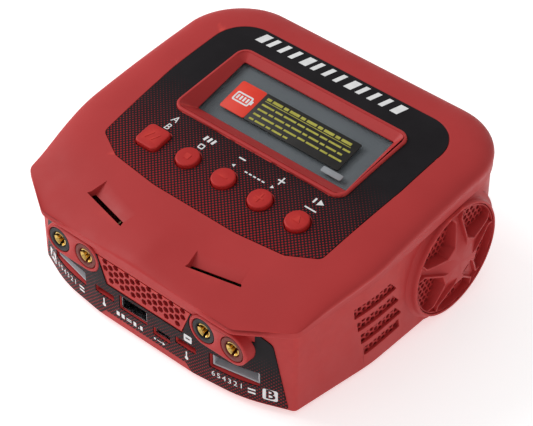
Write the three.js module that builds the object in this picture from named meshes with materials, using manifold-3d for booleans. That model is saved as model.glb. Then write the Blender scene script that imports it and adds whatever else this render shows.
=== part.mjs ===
// Balance battery charger: two-channel bench charger for model aircraft and car batteries.
// Millimetres, +Z up, front panel towards -Y. The parts are drawn in "case coordinates":
// X = 0 on the mirror plane, Y = 0 at the front faces of the jacks, Z = 0 at the case's underside.
// One group then moves the whole charger so that its origin is bottom centre, under the feet.
import * as THREE from 'three';
import { mergeVertices } from 'three/addons/utils/BufferGeometryUtils.js';
import Module from 'manifold-3d';

const wasm = await Module();
wasm.setup();

// ---------------------------------------------------------------- driving dimensions
const WALL = 2.4;              // moulded wall thickness
const GAP = 0.3;               // clearance between neighbouring parts
const FOOT_HEIGHT = 2;
const LIP_Y = -4.2;            // front edge of the upper case, which overhangs the front panel
const REAR_Y = 131.5;
const UPPER_HALF_WIDTH = 72.3;
const LOWER_HALF_WIDTH = 70;
const FRONT_WALL_Y = 0.6;      // front wall, just behind the jack faces
const PARTING_FRONT = 39;      // height of the parting plane at the lip
const PARTING_SLOPE = 0.1;     // the parting plane rises towards the rear
const LIP_BAND = 3;            // upright edge of the upper case above the parting plane
const TOP_RISE = 0.2767;       // the top surface is a shallow parabola in Y
const TOP_SAG = 0.000958;
const CROWN = { side: 15.5, front: 5, rear: 18 }; // how far the rounded shoulder reaches inwards
const SHOULDER_BULGE = 3.2;      // the side shoulders swell out over the upright edge
const CROWN_SHARPNESS = 0.7;  // below 1 the shoulder is boxier than a quarter ellipse

const JACK = { z: 26.5, inner: 30.1, outer: 44.1, bossRadius: 6.9, ringRadius: 5.3, sleeveRadius: 3.1 };
const GRILLE = { bottomZ: 18.9, topZ: 31, bottomHalf: 19.2, topHalf: 23.8, pitch: 4.1, holeRadius: 1.85 };
const BALANCE = { x: 42.3, z: 12.8, width: 19.6, height: 5.9, depth: 11, mouthY: 6.2, pinPitch: 2.5 };
const PROBE = { x: 20.9, z: 13.3, width: 9.6, height: 2.8 };
const USB_A = { x: -5.8, z: 14, width: 13.2, height: 5.7, depth: 14 };
const USB_MICRO = { x: 8.8, z: 10.4, width: 7.6, height: 2.8, depth: 5.5 };
const FAN = { y: 93, z: 24.4, size: 40, depth: 10, boreRadius: 19, frameX: 56 };
const BOSS = { lipX: 73.4, lipRadius: 24.3, openRadius: 23.4, boreRadius: 21.9, seatX: 68.8 };
const GUARD = { hubX: 75.4, backX: 69.1, radius: 23.1, arms: 5, firstArm: 91.5, notchedArm: 3 };
const SCREEN = { pitch: 5.3, holeRadius: 2.2, thickness: 1 };
const SIDE_VENT = {
  slots: 4, pitch: 7.4, height: 5, length: 19, slant: 4, rise: 0.7, lean: 1.9, frontY: 38.3, topZ: 34,
};
const BUTTON = { y: 44.4, pitch: 18.1, radius: 4.75, proud: 1.4 };
const LCD = { y: 84.2, z: 55.25, tilt: 14.2, width: 75.2, height: 28.1 };
const BEZEL = { y: 81.8, width: 84.8, height: 42, radius: 5 };
const SLOT = { x: 27.2, y: 9.9, length: 22, turn: 12.5, rampLength: 8, rampDepth: 2.6 };
const POST = { x: 56, frontY: 27, rearY: 118, radius: 4.4 };
const FOOT = { x: 50, frontY: 17, rearY: 108, radius: 6 };
const INLET = { x: -24, z: 19, width: 27, height: 19.6 };
const DC_INPUT = { x: 22, z: 14, width: 16.2, height: 8.2 };
const REAR_WALL_Y = 129.5;

const deg = THREE.MathUtils.degToRad;
const partingZ = (y) => PARTING_FRONT + PARTING_SLOPE * (y - LIP_Y);
const topZ = (y) => PARTING_FRONT + LIP_BAND + TOP_RISE * (y - LIP_Y) - TOP_SAG * (y - LIP_Y) ** 2;
const topTilt = (y) => Math.atan(TOP_RISE - 2 * TOP_SAG * (y - LIP_Y));

// ---------------------------------------------------------------- materials
const colours = {
  red: [0xb23a3a, 0.5, 0], redRubber: [0xbf3b38, 0.6, 0], label: [0x262325, 0.45, 0],
  glass: [0x6e7478, 0.1, 0], film: [0xc8ccd0, 0.2, 0], lcd: [0x4c5254, 0.3, 0],
  board: [0x1f5b3a, 0.6, 0.1], black: [0x1a1a1c, 0.55, 0], brown: [0x6b2f28, 0.5, 0],
  gold: [0xd8b45c, 0.25, 1], steel: [0xb8bbc0, 0.3, 1], white: [0xe6e6e2, 0.5, 0],
  aluminium: [0xa9adb2, 0.4, 1], ferrite: [0x3a3c40, 0.7, 0], yellow: [0xe0b53a, 0.5, 0],
};
const materials = Object.fromEntries(Object.entries(colours).map(([name, [color, roughness, metalness]]) => [
  name, new THREE.MeshStandardMaterial({ color, roughness, metalness, name })]));

// ---------------------------------------------------------------- solids
function toSolid(geometry) {
  const bare = geometry.clone();
  bare.deleteAttribute('normal');
  bare.deleteAttribute('uv');
  const merged = mergeVertices(bare, 1e-5);
  const mesh = new wasm.Mesh({
    numProp: 3,
    vertProperties: new Float32Array(merged.attributes.position.array),
    triVerts: new Uint32Array(merged.index.array),
  });
  return new wasm.Manifold(mesh);
}

function toGeometry(manifold) {
  const mesh = manifold.getMesh();
  const geometry = new THREE.BufferGeometry();
  geometry.setAttribute('position', new THREE.BufferAttribute(new Float32Array(mesh.vertProperties), 3));
  geometry.setIndex(new THREE.BufferAttribute(new Uint32Array(mesh.triVerts), 1));
  geometry.computeVertexNormals();
  return geometry;
}

const box = (sx, sy, sz, x = 0, y = 0, z = 0) => toSolid(new THREE.BoxGeometry(sx, sy, sz).translate(x, y, z));

function cylinder(radius, from, to, axis = 'z', segments = 32, topRadius = radius) {
  const geometry = new THREE.CylinderGeometry(topRadius, radius, to - from, segments);
  geometry.translate(0, (from + to) / 2, 0);
  if (axis === 'z') geometry.rotateX(Math.PI / 2);
  if (axis === 'x') geometry.rotateZ(-Math.PI / 2);
  return toSolid(geometry);
}

function shapeFrom(points, holes = []) {
  const shape = new THREE.Shape(points);
  shape.holes = holes.map((hole) => new THREE.Path(hole));
  return shape;
}

// A plan outline extruded upwards.
function prism(points, from, to, holes = []) {
  const geometry = new THREE.ExtrudeGeometry(shapeFrom(points, holes), {
    depth: to - from, bevelEnabled: false, curveSegments: 8,
  });
  return toSolid(geometry.translate(0, 0, from));
}

// A front-view outline (x, z) extruded from y = from back to y = to.
function frontPrism(points, from, to, holes = []) {
  const geometry = new THREE.ExtrudeGeometry(shapeFrom(points, holes), {
    depth: to - from, bevelEnabled: false, curveSegments: 8,
  });
  return toSolid(geometry.rotateX(Math.PI / 2).translate(0, to, 0));
}

// A side-view outline (y, z) extruded along X.
function sidePrism(points, from, to, holes = []) {
  const geometry = new THREE.ExtrudeGeometry(shapeFrom(points, holes), {
    depth: to - from, bevelEnabled: false, curveSegments: 8,
  });
  geometry.applyMatrix4(new THREE.Matrix4().makeBasis(
    new THREE.Vector3(0, 1, 0), new THREE.Vector3(0, 0, 1), new THREE.Vector3(1, 0, 0)));
  return toSolid(geometry.translate(from, 0, 0));
}

// A profile of (radius, x) points turned round the X axis.
function turnedOnX(profile, segments = 36) {
  const geometry = new THREE.LatheGeometry(profile.map(([r, x]) => new THREE.Vector2(r, x)), segments);
  return toSolid(geometry.rotateZ(-Math.PI / 2));
}

const mirrorX = (manifold) => manifold.scale([-1, 1, 1]);

// ---------------------------------------------------------------- outlines
// A closed polygon whose corners are [x, y, radius, steps], each rounded with an arc.
function roundedPolygon(corners) {
  const points = [];
  corners.forEach(([x, y, radius, steps = 6], i) => {
    const corner = new THREE.Vector2(x, y);
    const previous = corners[(i + corners.length - 1) % corners.length];
    const next = corners[(i + 1) % corners.length];
    const back = new THREE.Vector2(previous[0] - x, previous[1] - y).normalize();
    const ahead = new THREE.Vector2(next[0] - x, next[1] - y).normalize();
    const half = Math.acos(THREE.MathUtils.clamp(back.dot(ahead), -1, 1)) / 2;
    const reach = radius / Math.tan(half);
    const start = corner.clone().addScaledVector(back, reach);
    const end = corner.clone().addScaledVector(ahead, reach);
    const bisector = back.add(ahead).normalize();
    const centre = corner.clone().addScaledVector(bisector, radius / Math.sin(half));
    const angle = Math.atan2(start.y - centre.y, start.x - centre.x);
    let sweep = Math.atan2(end.y - centre.y, end.x - centre.x) - angle;
    sweep = Math.atan2(Math.sin(sweep), Math.cos(sweep));
    for (let k = 0; k <= steps; k += 1) {
      const a = angle + sweep * (k / steps);
      points.push(new THREE.Vector2(centre.x + radius * Math.cos(a), centre.y + radius * Math.sin(a)));
    }
  });
  return points;
}

// Corners of the right half, front to rear, completed with their mirror images.
function mirroredPolygon(half) {
  const left = half.map(([x, y, radius, steps]) => [-x, y, radius, steps]).reverse();
  return roundedPolygon([...half, ...left]);
}

function roundedRectangle(width, height, radius, steps = 4) {
  return mirroredPolygon([[width / 2, -height / 2, radius, steps], [width / 2, height / 2, radius, steps]]);
}

// Extra points along long straight edges, so that surfaces over them can bend.
function subdivided(points, longest) {
  return points.flatMap((p, i) => {
    const q = points[(i + 1) % points.length];
    const count = Math.max(1, Math.ceil(p.distanceTo(q) / longest));
    return Array.from({ length: count }, (_, k) => p.clone().lerp(q, k / count));
  });
}

function inwardNormals(points) {
  return points.map((p, i) => {
    const before = points[(i + points.length - 1) % points.length];
    const after = points[(i + 1) % points.length];
    return new THREE.Vector2(before.y - after.y, after.x - before.x).normalize();
  });
}

function inset(points, distance) {
  const normals = inwardNormals(points);
  return points.map((p, i) => p.clone().addScaledVector(normals[i], distance));
}

const UPPER_OUTLINE = subdivided(mirroredPolygon([
  [47.5, LIP_Y, 7, 2], [67.6, 8.6, 5, 2], [UPPER_HALF_WIDTH, 46, 70, 2],
  [UPPER_HALF_WIDTH, REAR_Y, 26, 5]]), 26);
const LOWER_OUTLINE = mirroredPolygon([
  [24, FRONT_WALL_Y, 40, 2], [46, 3.2, 60, 3], [65, 11, 2.6, 2],
  [LOWER_HALF_WIDTH, 48, 80, 2], [LOWER_HALF_WIDTH, REAR_WALL_Y, 20, 5]]);

// ---------------------------------------------------------------- lofted case bodies
// Rings of equal length, lowest first, joined by quads and closed with fans at both ends.
function loft(rings) {
  const count = rings[0].length;
  const positions = rings.flat().flatMap((v) => [v.x, v.y, v.z]);
  const index = [];
  for (let r = 0; r + 1 < rings.length; r += 1) {
    for (let i = 0; i < count; i += 1) {
      const a = r * count + i;
      const b = r * count + ((i + 1) % count);
      index.push(a, b, b + count, a, b + count, a + count);
    }
  }
  const centreOf = (ring) => ring.reduce((sum, v) => sum.add(v), new THREE.Vector3()).divideScalar(count);
  const bottom = centreOf(rings[0]);
  const top = centreOf(rings[rings.length - 1]);
  const first = rings.length * count;
  positions.push(bottom.x, bottom.y, bottom.z, top.x, top.y, top.z);
  for (let i = 0; i < count; i += 1) {
    const j = (i + 1) % count;
    index.push(first, j, i);
    index.push(first + 1, (rings.length - 1) * count + i, (rings.length - 1) * count + j);
  }
  const geometry = new THREE.BufferGeometry();
  geometry.setAttribute('position', new THREE.Float32BufferAttribute(positions, 3));
  geometry.setIndex(index);
  return toSolid(geometry);
}

// The domed body of the upper case, or its cavity when drawn smaller and lower.
function domedBody(shrink, drop, bottom, turns = [0, 22, 45, 68, 90]) {
  const outline = inset(UPPER_OUTLINE, shrink);
  const normals = inwardNormals(UPPER_OUTLINE);
  const bandZ = (y) => partingZ(y) + LIP_BAND - drop;
  const rings = [outline.map((p) => new THREE.Vector3(p.x, p.y, bottom(p.y)))];
  for (const turn of turns) {
    const out = Math.cos(deg(turn)) ** CROWN_SHARPNESS;
    const up = Math.sin(deg(turn)) ** CROWN_SHARPNESS;
    rings.push(outline.map((p, i) => {
      const n = normals[i];
      const reach = CROWN.side * n.x ** 2 + (n.y < 0 ? CROWN.rear : CROWN.front) * n.y ** 2;
      const fade = THREE.MathUtils.smoothstep(p.y, 5, 42);
      const bulge = SHOULDER_BULGE * fade * n.x ** 4 * Math.sin(deg(2 * turn));
      const q = p.clone().addScaledVector(n, reach * (1 - (turn === 90 ? 0 : out)) - bulge);
      return new THREE.Vector3(q.x, q.y, bandZ(p.y) + (topZ(q.y) - drop - bandZ(p.y)) * up);
    }));
  }
  const rim = rings[rings.length - 1];
  const middleY = 62;
  for (const keep of [0.6, 0.2]) {
    rings.push(rim.map((v) => {
      const y = middleY + (v.y - middleY) * keep;
      return new THREE.Vector3(v.x * keep, y, topZ(y) - drop);
    }));
  }
  return loft(rings);
}

// Everything below the top surface, raised by the given amount.
function belowTop(raise) {
  const profile = [new THREE.Vector2(-20, -20)];
  profile.push(new THREE.Vector2(160, -20));
  for (let y = 160; y >= -20; y -= 15) {
    profile.push(new THREE.Vector2(y, topZ(y) + raise));
  }
  return sidePrism(profile, -90, 90);
}

// Everything below a plane parallel to the parting plane.
function belowParting(raise) {
  const profile = [[-20, -20], [160, -20], [160, partingZ(160) + raise], [-20, partingZ(-20) + raise]];
  return sidePrism(profile.map(([y, z]) => new THREE.Vector2(y, z)), -90, 90);
}

// A manifold drawn flat on the top surface (x across, y up the slope, z out) and moved to y.
function onTop(manifold, y, x = 0) {
  return manifold.rotate([THREE.MathUtils.radToDeg(topTilt(y)), 0, 0]).translate([x, y, topZ(y)]);
}

// A manifold drawn on the display's own plane.
const onDisplay = (manifold) => manifold.rotate([LCD.tilt, 0, 0]).translate([0, LCD.y, LCD.z]);

// ---------------------------------------------------------------- case
const LABEL_OUTLINE = subdivided(mirroredPolygon([
  [20, 27.8, 30, 2], [42.3, 30.2, 3, 2], [54.6, 36.5, 3, 2], [57, 78, 60, 3], [56.6, 116.5, 15, 6]]), 18);
const LABEL_DEPTH = 0.5;
const buttonXs = [-2, -1, 0, 1, 2].map((k) => k * BUTTON.pitch);

function buttonCap(grow, from, to, square) {
  if (square) {
    return prism(roundedRectangle(10.6 + 2 * grow, 10.6 + 2 * grow, 2.2 + grow, 3), from, to);
  }
  return cylinder(BUTTON.radius + grow, from, to, 'z', 20);
}

function slotCutter() {
  const throat = [[-1.1, 3], [-1.1, -SLOT.rampDepth], [-0.4, -14], [1.8, -14], [1.2, -SLOT.rampDepth],
    [SLOT.rampLength, 0.3], [SLOT.rampLength, 3]];
  const cut = sidePrism(throat.map(([y, z]) => new THREE.Vector2(y, z)), -SLOT.length / 2, SLOT.length / 2);
  return onTop(cut.rotate([0, 0, SLOT.turn]), SLOT.y, SLOT.x);
}

function displayFunnel() {
  const ringAt = (width, height, z) => roundedRectangle(width, height, 2)
    .map((p) => new THREE.Vector3(p.x, p.y, z));
  return loft([
    ringAt(LCD.width, LCD.height, -12), ringAt(LCD.width, LCD.height, 0),
    ringAt(LCD.width + 6, LCD.height + 7, 5.5), ringAt(LCD.width + 6, LCD.height + 7, 12)]);
}

function upperCase() {
  const body = domedBody(0, 0, (y) => partingZ(y) + GAP / 2);
  const column = prism(inset(LOWER_OUTLINE, WALL), 0, 90);
  const cavity = domedBody(WALL, WALL, () => 20, [0, 45, 90]).intersect(column);
  let shell = body.subtract(cavity);
  const frame = prism(roundedRectangle(BEZEL.width, BEZEL.height, BEZEL.radius), -6, 0.7);
  shell = shell.add(onTop(frame, BEZEL.y));
  shell = shell.subtract(onDisplay(box(BEZEL.width - 3, 37, 20, 0, 0, -10.2)));
  shell = shell.subtract(onDisplay(displayFunnel()));
  const posts = [];
  for (const x of [-POST.x, POST.x]) {
    for (const y of [POST.frontY, POST.rearY]) {
      const pilot = cylinder(1.5, 20, partingZ(y) + 6, 'z', 10);
      const post = cylinder(POST.radius, partingZ(y) - 2.6, 90, 'z', 14).subtract(pilot);
      posts.push(post.translate([x, y, 0]));
    }
  }
  const roof = domedBody(WALL / 2, WALL / 2, () => 20, [0, 45, 90]);
  posts.forEach((post) => { shell = shell.add(post.intersect(roof)); });
  const recess = prism(LABEL_OUTLINE, 20, 90).subtract(belowTop(-LABEL_DEPTH))
    .subtract(onTop(prism(roundedRectangle(BEZEL.width, BEZEL.height, BEZEL.radius), -9, 9), BEZEL.y));
  shell = shell.subtract(recess);
  buttonXs.forEach((x, i) => {
    shell = shell.subtract(onTop(buttonCap(0.35, -6, 6, i === 0), BUTTON.y, x));
  });
  return shell.subtract(slotCutter()).subtract(mirrorX(slotCutter()));
}

const stadium = (halfLength, radius) => roundedPolygon([
  [-halfLength - radius, -radius, radius * 0.999, 8], [halfLength + radius, -radius, radius * 0.999, 8],
  [halfLength + radius, radius, radius * 0.999, 8], [-halfLength - radius, radius, radius * 0.999, 8]]);
const JACK_MID = (JACK.inner + JACK.outer) / 2;
const JACK_SPAN = (JACK.outer - JACK.inner) / 2;
const shifted = (points, x, y) => points.map((p) => new THREE.Vector2(p.x + x, p.y + y));
const circle = (radius, x, y, steps = 20) => Array.from({ length: steps }, (_, k) => new THREE.Vector2(
  x + radius * Math.cos((2 * Math.PI * k) / steps), y + radius * Math.sin((2 * Math.PI * k) / steps)));
const rectangle = (width, height, x, z) => [[-1, -1], [1, -1], [1, 1], [-1, 1]].map(([i, k]) => (
  new THREE.Vector2(x + (i * width) / 2, z + (k * height) / 2)));
const trapezoid = (grow) => [
  [-GRILLE.bottomHalf - grow, GRILLE.bottomZ - grow], [GRILLE.bottomHalf + grow, GRILLE.bottomZ - grow],
  [GRILLE.topHalf + grow, GRILLE.topZ + grow], [-GRILLE.topHalf - grow, GRILLE.topZ + grow],
].map(([x, z]) => new THREE.Vector2(x, z));

// Openings through the front wall, grown by the given clearance.
function frontWindows(grow) {
  const windows = [frontPrism(trapezoid(grow), -6, 8)];
  for (const side of [-1, 1]) {
    const socket = rectangle(BALANCE.width + 0.8, BALANCE.height + 0.6, side * BALANCE.x, BALANCE.z);
    windows.push(frontPrism(socket, -6, 12));
    windows.push(frontPrism(rectangle(PROBE.width, PROBE.height, side * PROBE.x, PROBE.z), -6, 8));
    windows.push(frontPrism(circle(JACK.ringRadius + 0.25, side * JACK.inner, JACK.z), -6, 18));
    windows.push(frontPrism(circle(JACK.ringRadius + 0.25, side * JACK.outer, JACK.z), -6, 18));
  }
  for (const port of [USB_A, USB_MICRO]) {
    windows.push(frontPrism(rectangle(port.width + 0.7, port.height + 0.7, port.x, port.z), -6, 8));
  }
  return windows;
}

function sideVentSlots() {
  const { pitch, height, length, slant, rise, lean, frontY, topZ: firstZ } = SIDE_VENT;
  const slots = [];
  for (let k = 0; k < SIDE_VENT.slots; k += 1) {
    const front = frontY + lean * k;
    const top = firstZ - pitch * k;
    const corners = [[front + 0.5, top - height], [front + length + slant, top - height + rise],
      [front + length, top + rise], [front, top]];
    slots.push(sidePrism(corners.map(([y, z]) => new THREE.Vector2(y, z)), 62, 78));
  }
  return slots;
}

function fanBoss() {
  const profile = [[0, 62], [26.4, 62], [27, 69.6], [25.4, 71], [BOSS.lipRadius, 72.6],
    [BOSS.lipRadius - 0.4, BOSS.lipX], [0, BOSS.lipX]];
  return turnedOnX(profile).translate([0, FAN.y, FAN.z]);
}

function fanBore() {
  const profile = [[0, 50], [BOSS.boreRadius, 50], [BOSS.boreRadius, BOSS.seatX],
    [BOSS.openRadius, BOSS.seatX], [BOSS.openRadius, 80], [0, 80]];
  return turnedOnX(profile).translate([0, FAN.y, FAN.z]);
}

const postPlaces = [-POST.x, POST.x].flatMap((x) => [POST.frontY, POST.rearY].map((y) => [x, y]));
const footPlaces = [-FOOT.x, FOOT.x].flatMap((x) => [FOOT.frontY, FOOT.rearY].map((y) => [x, y]));

function lowerCase() {
  const ringAt = (shrink, z) => inset(LOWER_OUTLINE, shrink).map((p) => new THREE.Vector3(p.x, p.y, z(p.y)));
  let shell = loft([ringAt(0.6, () => 0), ringAt(0, () => 1), ringAt(0, (y) => partingZ(y) - GAP / 2)]);
  const underside = box(200, 200, 20, 0, FAN.y, -10.5);
  shell = shell.add(fanBoss().subtract(underside)).add(mirrorX(fanBoss().subtract(underside)));
  shell = shell.intersect(belowParting(-GAP / 2));
  shell = shell.subtract(prism(inset(LOWER_OUTLINE, WALL), WALL, 90));
  for (const side of [-1, 1]) {
    const boss = frontPrism(shifted(stadium(JACK_SPAN, JACK.bossRadius), side * JACK_MID, JACK.z), 0, 12);
    shell = shell.add(boss);
  }
  frontWindows(0).forEach((window) => { shell = shell.subtract(window); });
  shell = shell.subtract(fanBore()).subtract(mirrorX(fanBore()));
  sideVentSlots().forEach((slot) => { shell = shell.subtract(slot).subtract(mirrorX(slot)); });
  postPlaces.forEach(([x, y]) => {
    const height = partingZ(y) - 3;
    const post = cylinder(POST.radius, 1, height, 'z', 14).translate([x, y, 0]);
    const well = cylinder(3.2, -1, height - 3, 'z', 14).add(cylinder(1.8, 0, 90, 'z', 10)).translate([x, y, 0]);
    shell = shell.add(post).subtract(well);
  });
  footPlaces.forEach(([x, y]) => {
    shell = shell.subtract(cylinder(FOOT.radius + GAP, -1, 0.8, 'z', 18).translate([x, y, 0]));
  });
  for (const port of [INLET, DC_INPUT]) {
    shell = shell.subtract(box(port.width + 0.6, 12, port.height + 0.6, port.x, REAR_WALL_Y, port.z));
  }
  return shell;
}

function topLabel() {
  const sheet = prism(inset(LABEL_OUTLINE, 0.2), 20, 90).intersect(belowTop(-0.02)).subtract(belowTop(-0.42));
  const opening = roundedRectangle(BEZEL.width + 0.4, BEZEL.height + 0.4, BEZEL.radius + 0.2);
  let label = sheet.subtract(onTop(prism(opening, -9, 9), BEZEL.y));
  buttonXs.forEach((x, i) => {
    label = label.subtract(onTop(buttonCap(0.55, -3, 3, i === 0), BUTTON.y, x));
  });
  return label;
}

function frontLabel() {
  const skin = prism(inset(LOWER_OUTLINE, -0.45), 0, 60).subtract(prism(inset(LOWER_OUTLINE, -0.05), -1, 61));
  const face = roundedPolygon([
    [20.9, 4.4, 0.5, 1], [23.6, 1.4, 0.5, 1], [62.6, 1.4, 0.5, 1], [57.2, 31.5, 4, 3], [50, 36.6, 0.5, 1],
    [-50, 36.6, 0.5, 1], [-57.2, 31.5, 4, 3], [-62.6, 1.4, 0.5, 1],
    [-23.6, 1.4, 0.5, 1], [-20.9, 4.4, 0.5, 1]]);
  let label = frontPrism(face, -3, 20).intersect(skin);
  frontWindows(0.25).forEach((window) => { label = label.subtract(window); });
  for (const side of [-1, 1]) {
    const clear = shifted(stadium(JACK_SPAN, JACK.bossRadius + 0.25), side * JACK_MID, JACK.z);
    label = label.subtract(frontPrism(clear, -6, 20));
  }
  return label;
}

// A honeycomb of hexagonal holes that lie wholly inside a region of a flat plate.
function honeycombCentres(pitch, inside, spanU, spanV) {
  const centres = [];
  const column = pitch * Math.sqrt(0.75);
  const columns = Math.ceil(spanU / column);
  const rows = Math.ceil(spanV / pitch);
  for (let i = -columns; i <= columns; i += 1) {
    for (let k = -rows; k <= rows; k += 1) {
      const u = i * column;
      const v = (k + (i % 2 ? 0.5 : 0)) * pitch;
      if (inside(u, v)) centres.push([u, v]);
    }
  }
  return centres;
}

const hexagon = (radius, u, v) => circle(radius, u, v, 6);

function frontGrille() {
  const middle = (GRILLE.bottomZ + GRILLE.topZ) / 2;
  const margin = 1.5;
  const inside = (u, v) => {
    const z = v + middle;
    const t = (z - GRILLE.bottomZ) / (GRILLE.topZ - GRILLE.bottomZ);
    const half = THREE.MathUtils.lerp(GRILLE.bottomHalf, GRILLE.topHalf, t);
    return z > GRILLE.bottomZ + margin && z < GRILLE.topZ - margin && Math.abs(u) < half - margin - 0.3;
  };
  const centres = honeycombCentres(GRILLE.pitch, inside, 26, 8);
  const holes = centres.map(([u, v]) => hexagon(GRILLE.holeRadius, u, v + middle));
  return frontPrism(trapezoid(-GAP), 0.3, 2.2, holes);
}

// ---------------------------------------------------------------- display
function displayPlate(width, height, from, to) {
  return onDisplay(prism(roundedRectangle(width, height, 1), from, to));
}

function screenSticker() {
  return displayPlate(58, 17.5, -0.25, 0.05);
}

// ---------------------------------------------------------------- buttons
function button(square) {
  const cap = buttonCap(0, -3.4, BUTTON.proud, square);
  const flange = square ? prism(roundedRectangle(12.6, 12.6, 2), -4, -2.9) : cylinder(6.2, -4, -2.9, 'z', 20);
  return cap.add(flange).add(cylinder(1.7, -5.4, -3.5, 'z', 10));
}

const tactSwitch = () => box(6, 6, 3.4, 0, 0, -8.7).add(cylinder(1.7, -7.5, -6.2, 'z', 10));

// ---------------------------------------------------------------- front sockets
function jackSleeve(x) {
  const barrel = cylinder(JACK.sleeveRadius, 0.5, 21, 'y', 20);
  const mouth = toSolid(new THREE.LatheGeometry([
    new THREE.Vector2(0, 14), new THREE.Vector2(2.05, 14), new THREE.Vector2(2.05, 1.7),
    new THREE.Vector2(2.7, 0.4), new THREE.Vector2(2.7, -1), new THREE.Vector2(0, -1)].reverse(), 20));
  let sleeve = barrel.subtract(mouth);
  for (let k = 0; k < 3; k += 1) {
    const cut = box(1.1, 14, 6, 0, 3, 3.4).rotate([0, 120 * k + 55, 0]);
    sleeve = sleeve.subtract(cut);
  }
  return sleeve.translate([x, 0, JACK.z]);
}

function jackInsulator(x) {
  const bore = cylinder(JACK.sleeveRadius + 0.2, -1, 16, 'y', 20);
  return cylinder(JACK.ringRadius, 0.25, 15, 'y', 20).subtract(bore).translate([x, 0, JACK.z]);
}

const PIN_SIZE = 0.64;
const pinOffsets = [-3, -2, -1, 0, 1, 2, 3].map((k) => k * BALANCE.pinPitch);

function balanceHousing(x) {
  const backY = BALANCE.mouthY + BALANCE.depth;
  const middleY = BALANCE.mouthY + BALANCE.depth / 2;
  let housing = box(BALANCE.width, BALANCE.depth, BALANCE.height, 0, middleY, 0);
  housing = housing.subtract(box(BALANCE.width - 1.7, BALANCE.depth, 4.2, 0, middleY - 1.6, 0));
  housing = housing.subtract(box(12, 7, 4, 0, BALANCE.mouthY + 3, 2.6));
  pinOffsets.forEach((offset) => {
    housing = housing.subtract(box(PIN_SIZE + 0.5, 5, PIN_SIZE + 0.5, offset, backY, -0.2));
  });
  return housing.translate([x, 0, BALANCE.z]);
}

function balancePins(x) {
  const backY = BALANCE.mouthY + BALANCE.depth;
  let comb = box(6 * BALANCE.pinPitch + 1.6, 1.2, 1.4, 0, backY + 1, -0.2);
  pinOffsets.forEach((offset) => {
    comb = comb.add(box(PIN_SIZE, 7.6, PIN_SIZE, offset, backY - 2.7, -0.2));
  });
  return comb.translate([x, 0, BALANCE.z]);
}

function probeSocket(x) {
  const body = box(PROBE.width - 0.6, 7, 2.4, 0, 6.5, 0).subtract(box(PROBE.width - 2, 7, 1.4, 0, 5.2, 0));
  return body.translate([x, 0, PROBE.z]);
}

function usbShell() {
  const { width, depth, height } = USB_A;
  const shell = box(width, depth, height, 0, depth / 2 + 1, 0);
  const mouth = box(width - 0.8, depth, height - 0.8, 0, depth / 2 + 0.4, 0);
  const tongueExit = box(9, 1, 2.4, 0, depth + 0.8, 1.1);
  return shell.subtract(mouth).subtract(tongueExit).translate([USB_A.x, 0, USB_A.z]);
}

function usbTongue() {
  return box(11.2, 9, 1.7, 0, 7.2, 1.3).add(box(8.4, 8, 1.7, 0, 12, 1.3)).translate([USB_A.x, 0, USB_A.z]);
}

function microUsbShell() {
  const { width, depth, height } = USB_MICRO;
  const shell = box(width, depth, height, 0, depth / 2 + 1.2, 0);
  const mouth = box(width - 0.7, depth, height - 0.7, 0, depth / 2 + 0.6, 0);
  return shell.subtract(mouth).translate([USB_MICRO.x, 0, USB_MICRO.z]);
}

// ---------------------------------------------------------------- fans
// Drawn with the axis on X, blowing towards +X, centred on the axis; moved into place afterwards.
const intoFanPlace = (manifold) => manifold.translate([0, FAN.y, FAN.z]);
const FAN_BACK = FAN.frameX;
const FAN_FRONT = FAN.frameX + FAN.depth;

function fanFrame() {
  const plate = shapeFrom(roundedRectangle(FAN.size, FAN.size, 3, 3), [circle(FAN.boreRadius, 0, 0, 28),
    ...[[-16, -16], [16, -16], [16, 16], [-16, 16]].map(([u, v]) => circle(1.7, u, v, 8))]);
  const geometry = new THREE.ExtrudeGeometry(plate, { depth: FAN.depth, bevelEnabled: false });
  geometry.applyMatrix4(new THREE.Matrix4().makeBasis(
    new THREE.Vector3(0, 1, 0), new THREE.Vector3(0, 0, 1), new THREE.Vector3(1, 0, 0)));
  let frame = toSolid(geometry.translate(FAN_BACK, 0, 0));
  frame = frame.add(cylinder(11, FAN_BACK, FAN_BACK + 1.4, 'x', 20));
  for (let k = 0; k < 3; k += 1) {
    frame = frame.add(box(1.4, 2.2, 20, FAN_BACK + 0.7, 0, 10).rotate([120 * k + 30, 0, 0]));
  }
  const bearing = cylinder(2.6, FAN_BACK, FAN_BACK + 4.5, 'x', 12);
  return intoFanPlace(frame.add(bearing).subtract(cylinder(1.3, FAN_BACK + 0.8, FAN_FRONT, 'x', 12)));
}

function fanImpeller() {
  const hub = cylinder(10.8, FAN_BACK + 2, FAN_FRONT - 0.4, 'x', 24);
  const hollow = cylinder(9.6, FAN_BACK, FAN_FRONT - 1.8, 'x', 24);
  let wheel = hub.subtract(hollow).add(cylinder(1, FAN_BACK + 1.4, FAN_FRONT - 1, 'x', 10));
  for (let k = 0; k < 7; k += 1) {
    const blade = box(9.6, 1.2, 8.4, 0, 0, 13.9).rotate([0, 0, 40]).translate([FAN_BACK + 5.6, 0, 0]);
    wheel = wheel.add(blade.rotate([(360 * k) / 7, 0, 0]));
  }
  const swept = cylinder(FAN.boreRadius - 0.7, FAN_BACK + 1.8, FAN_FRONT - 0.3, 'x', 28);
  return intoFanPlace(wheel.intersect(swept));
}

// A window between two arms: a blunt inner end, tapering sides, flared corners and an arc at the rim.
function guardWindow(index) {
  const middle = GUARD.firstArm + (360 / GUARD.arms) * (index + 0.5);
  const half = [[10.4, 14], [19.9, 30.2], [22.4, 26], [22.4, 13]];
  const around = [...half.map(([r, turn]) => [r, -turn]), [22.4, 0], ...half.reverse()];
  return around.map(([r, turn]) => new THREE.Vector2(
    r * Math.cos(deg(middle + turn)), r * Math.sin(deg(middle + turn))));
}

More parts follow.
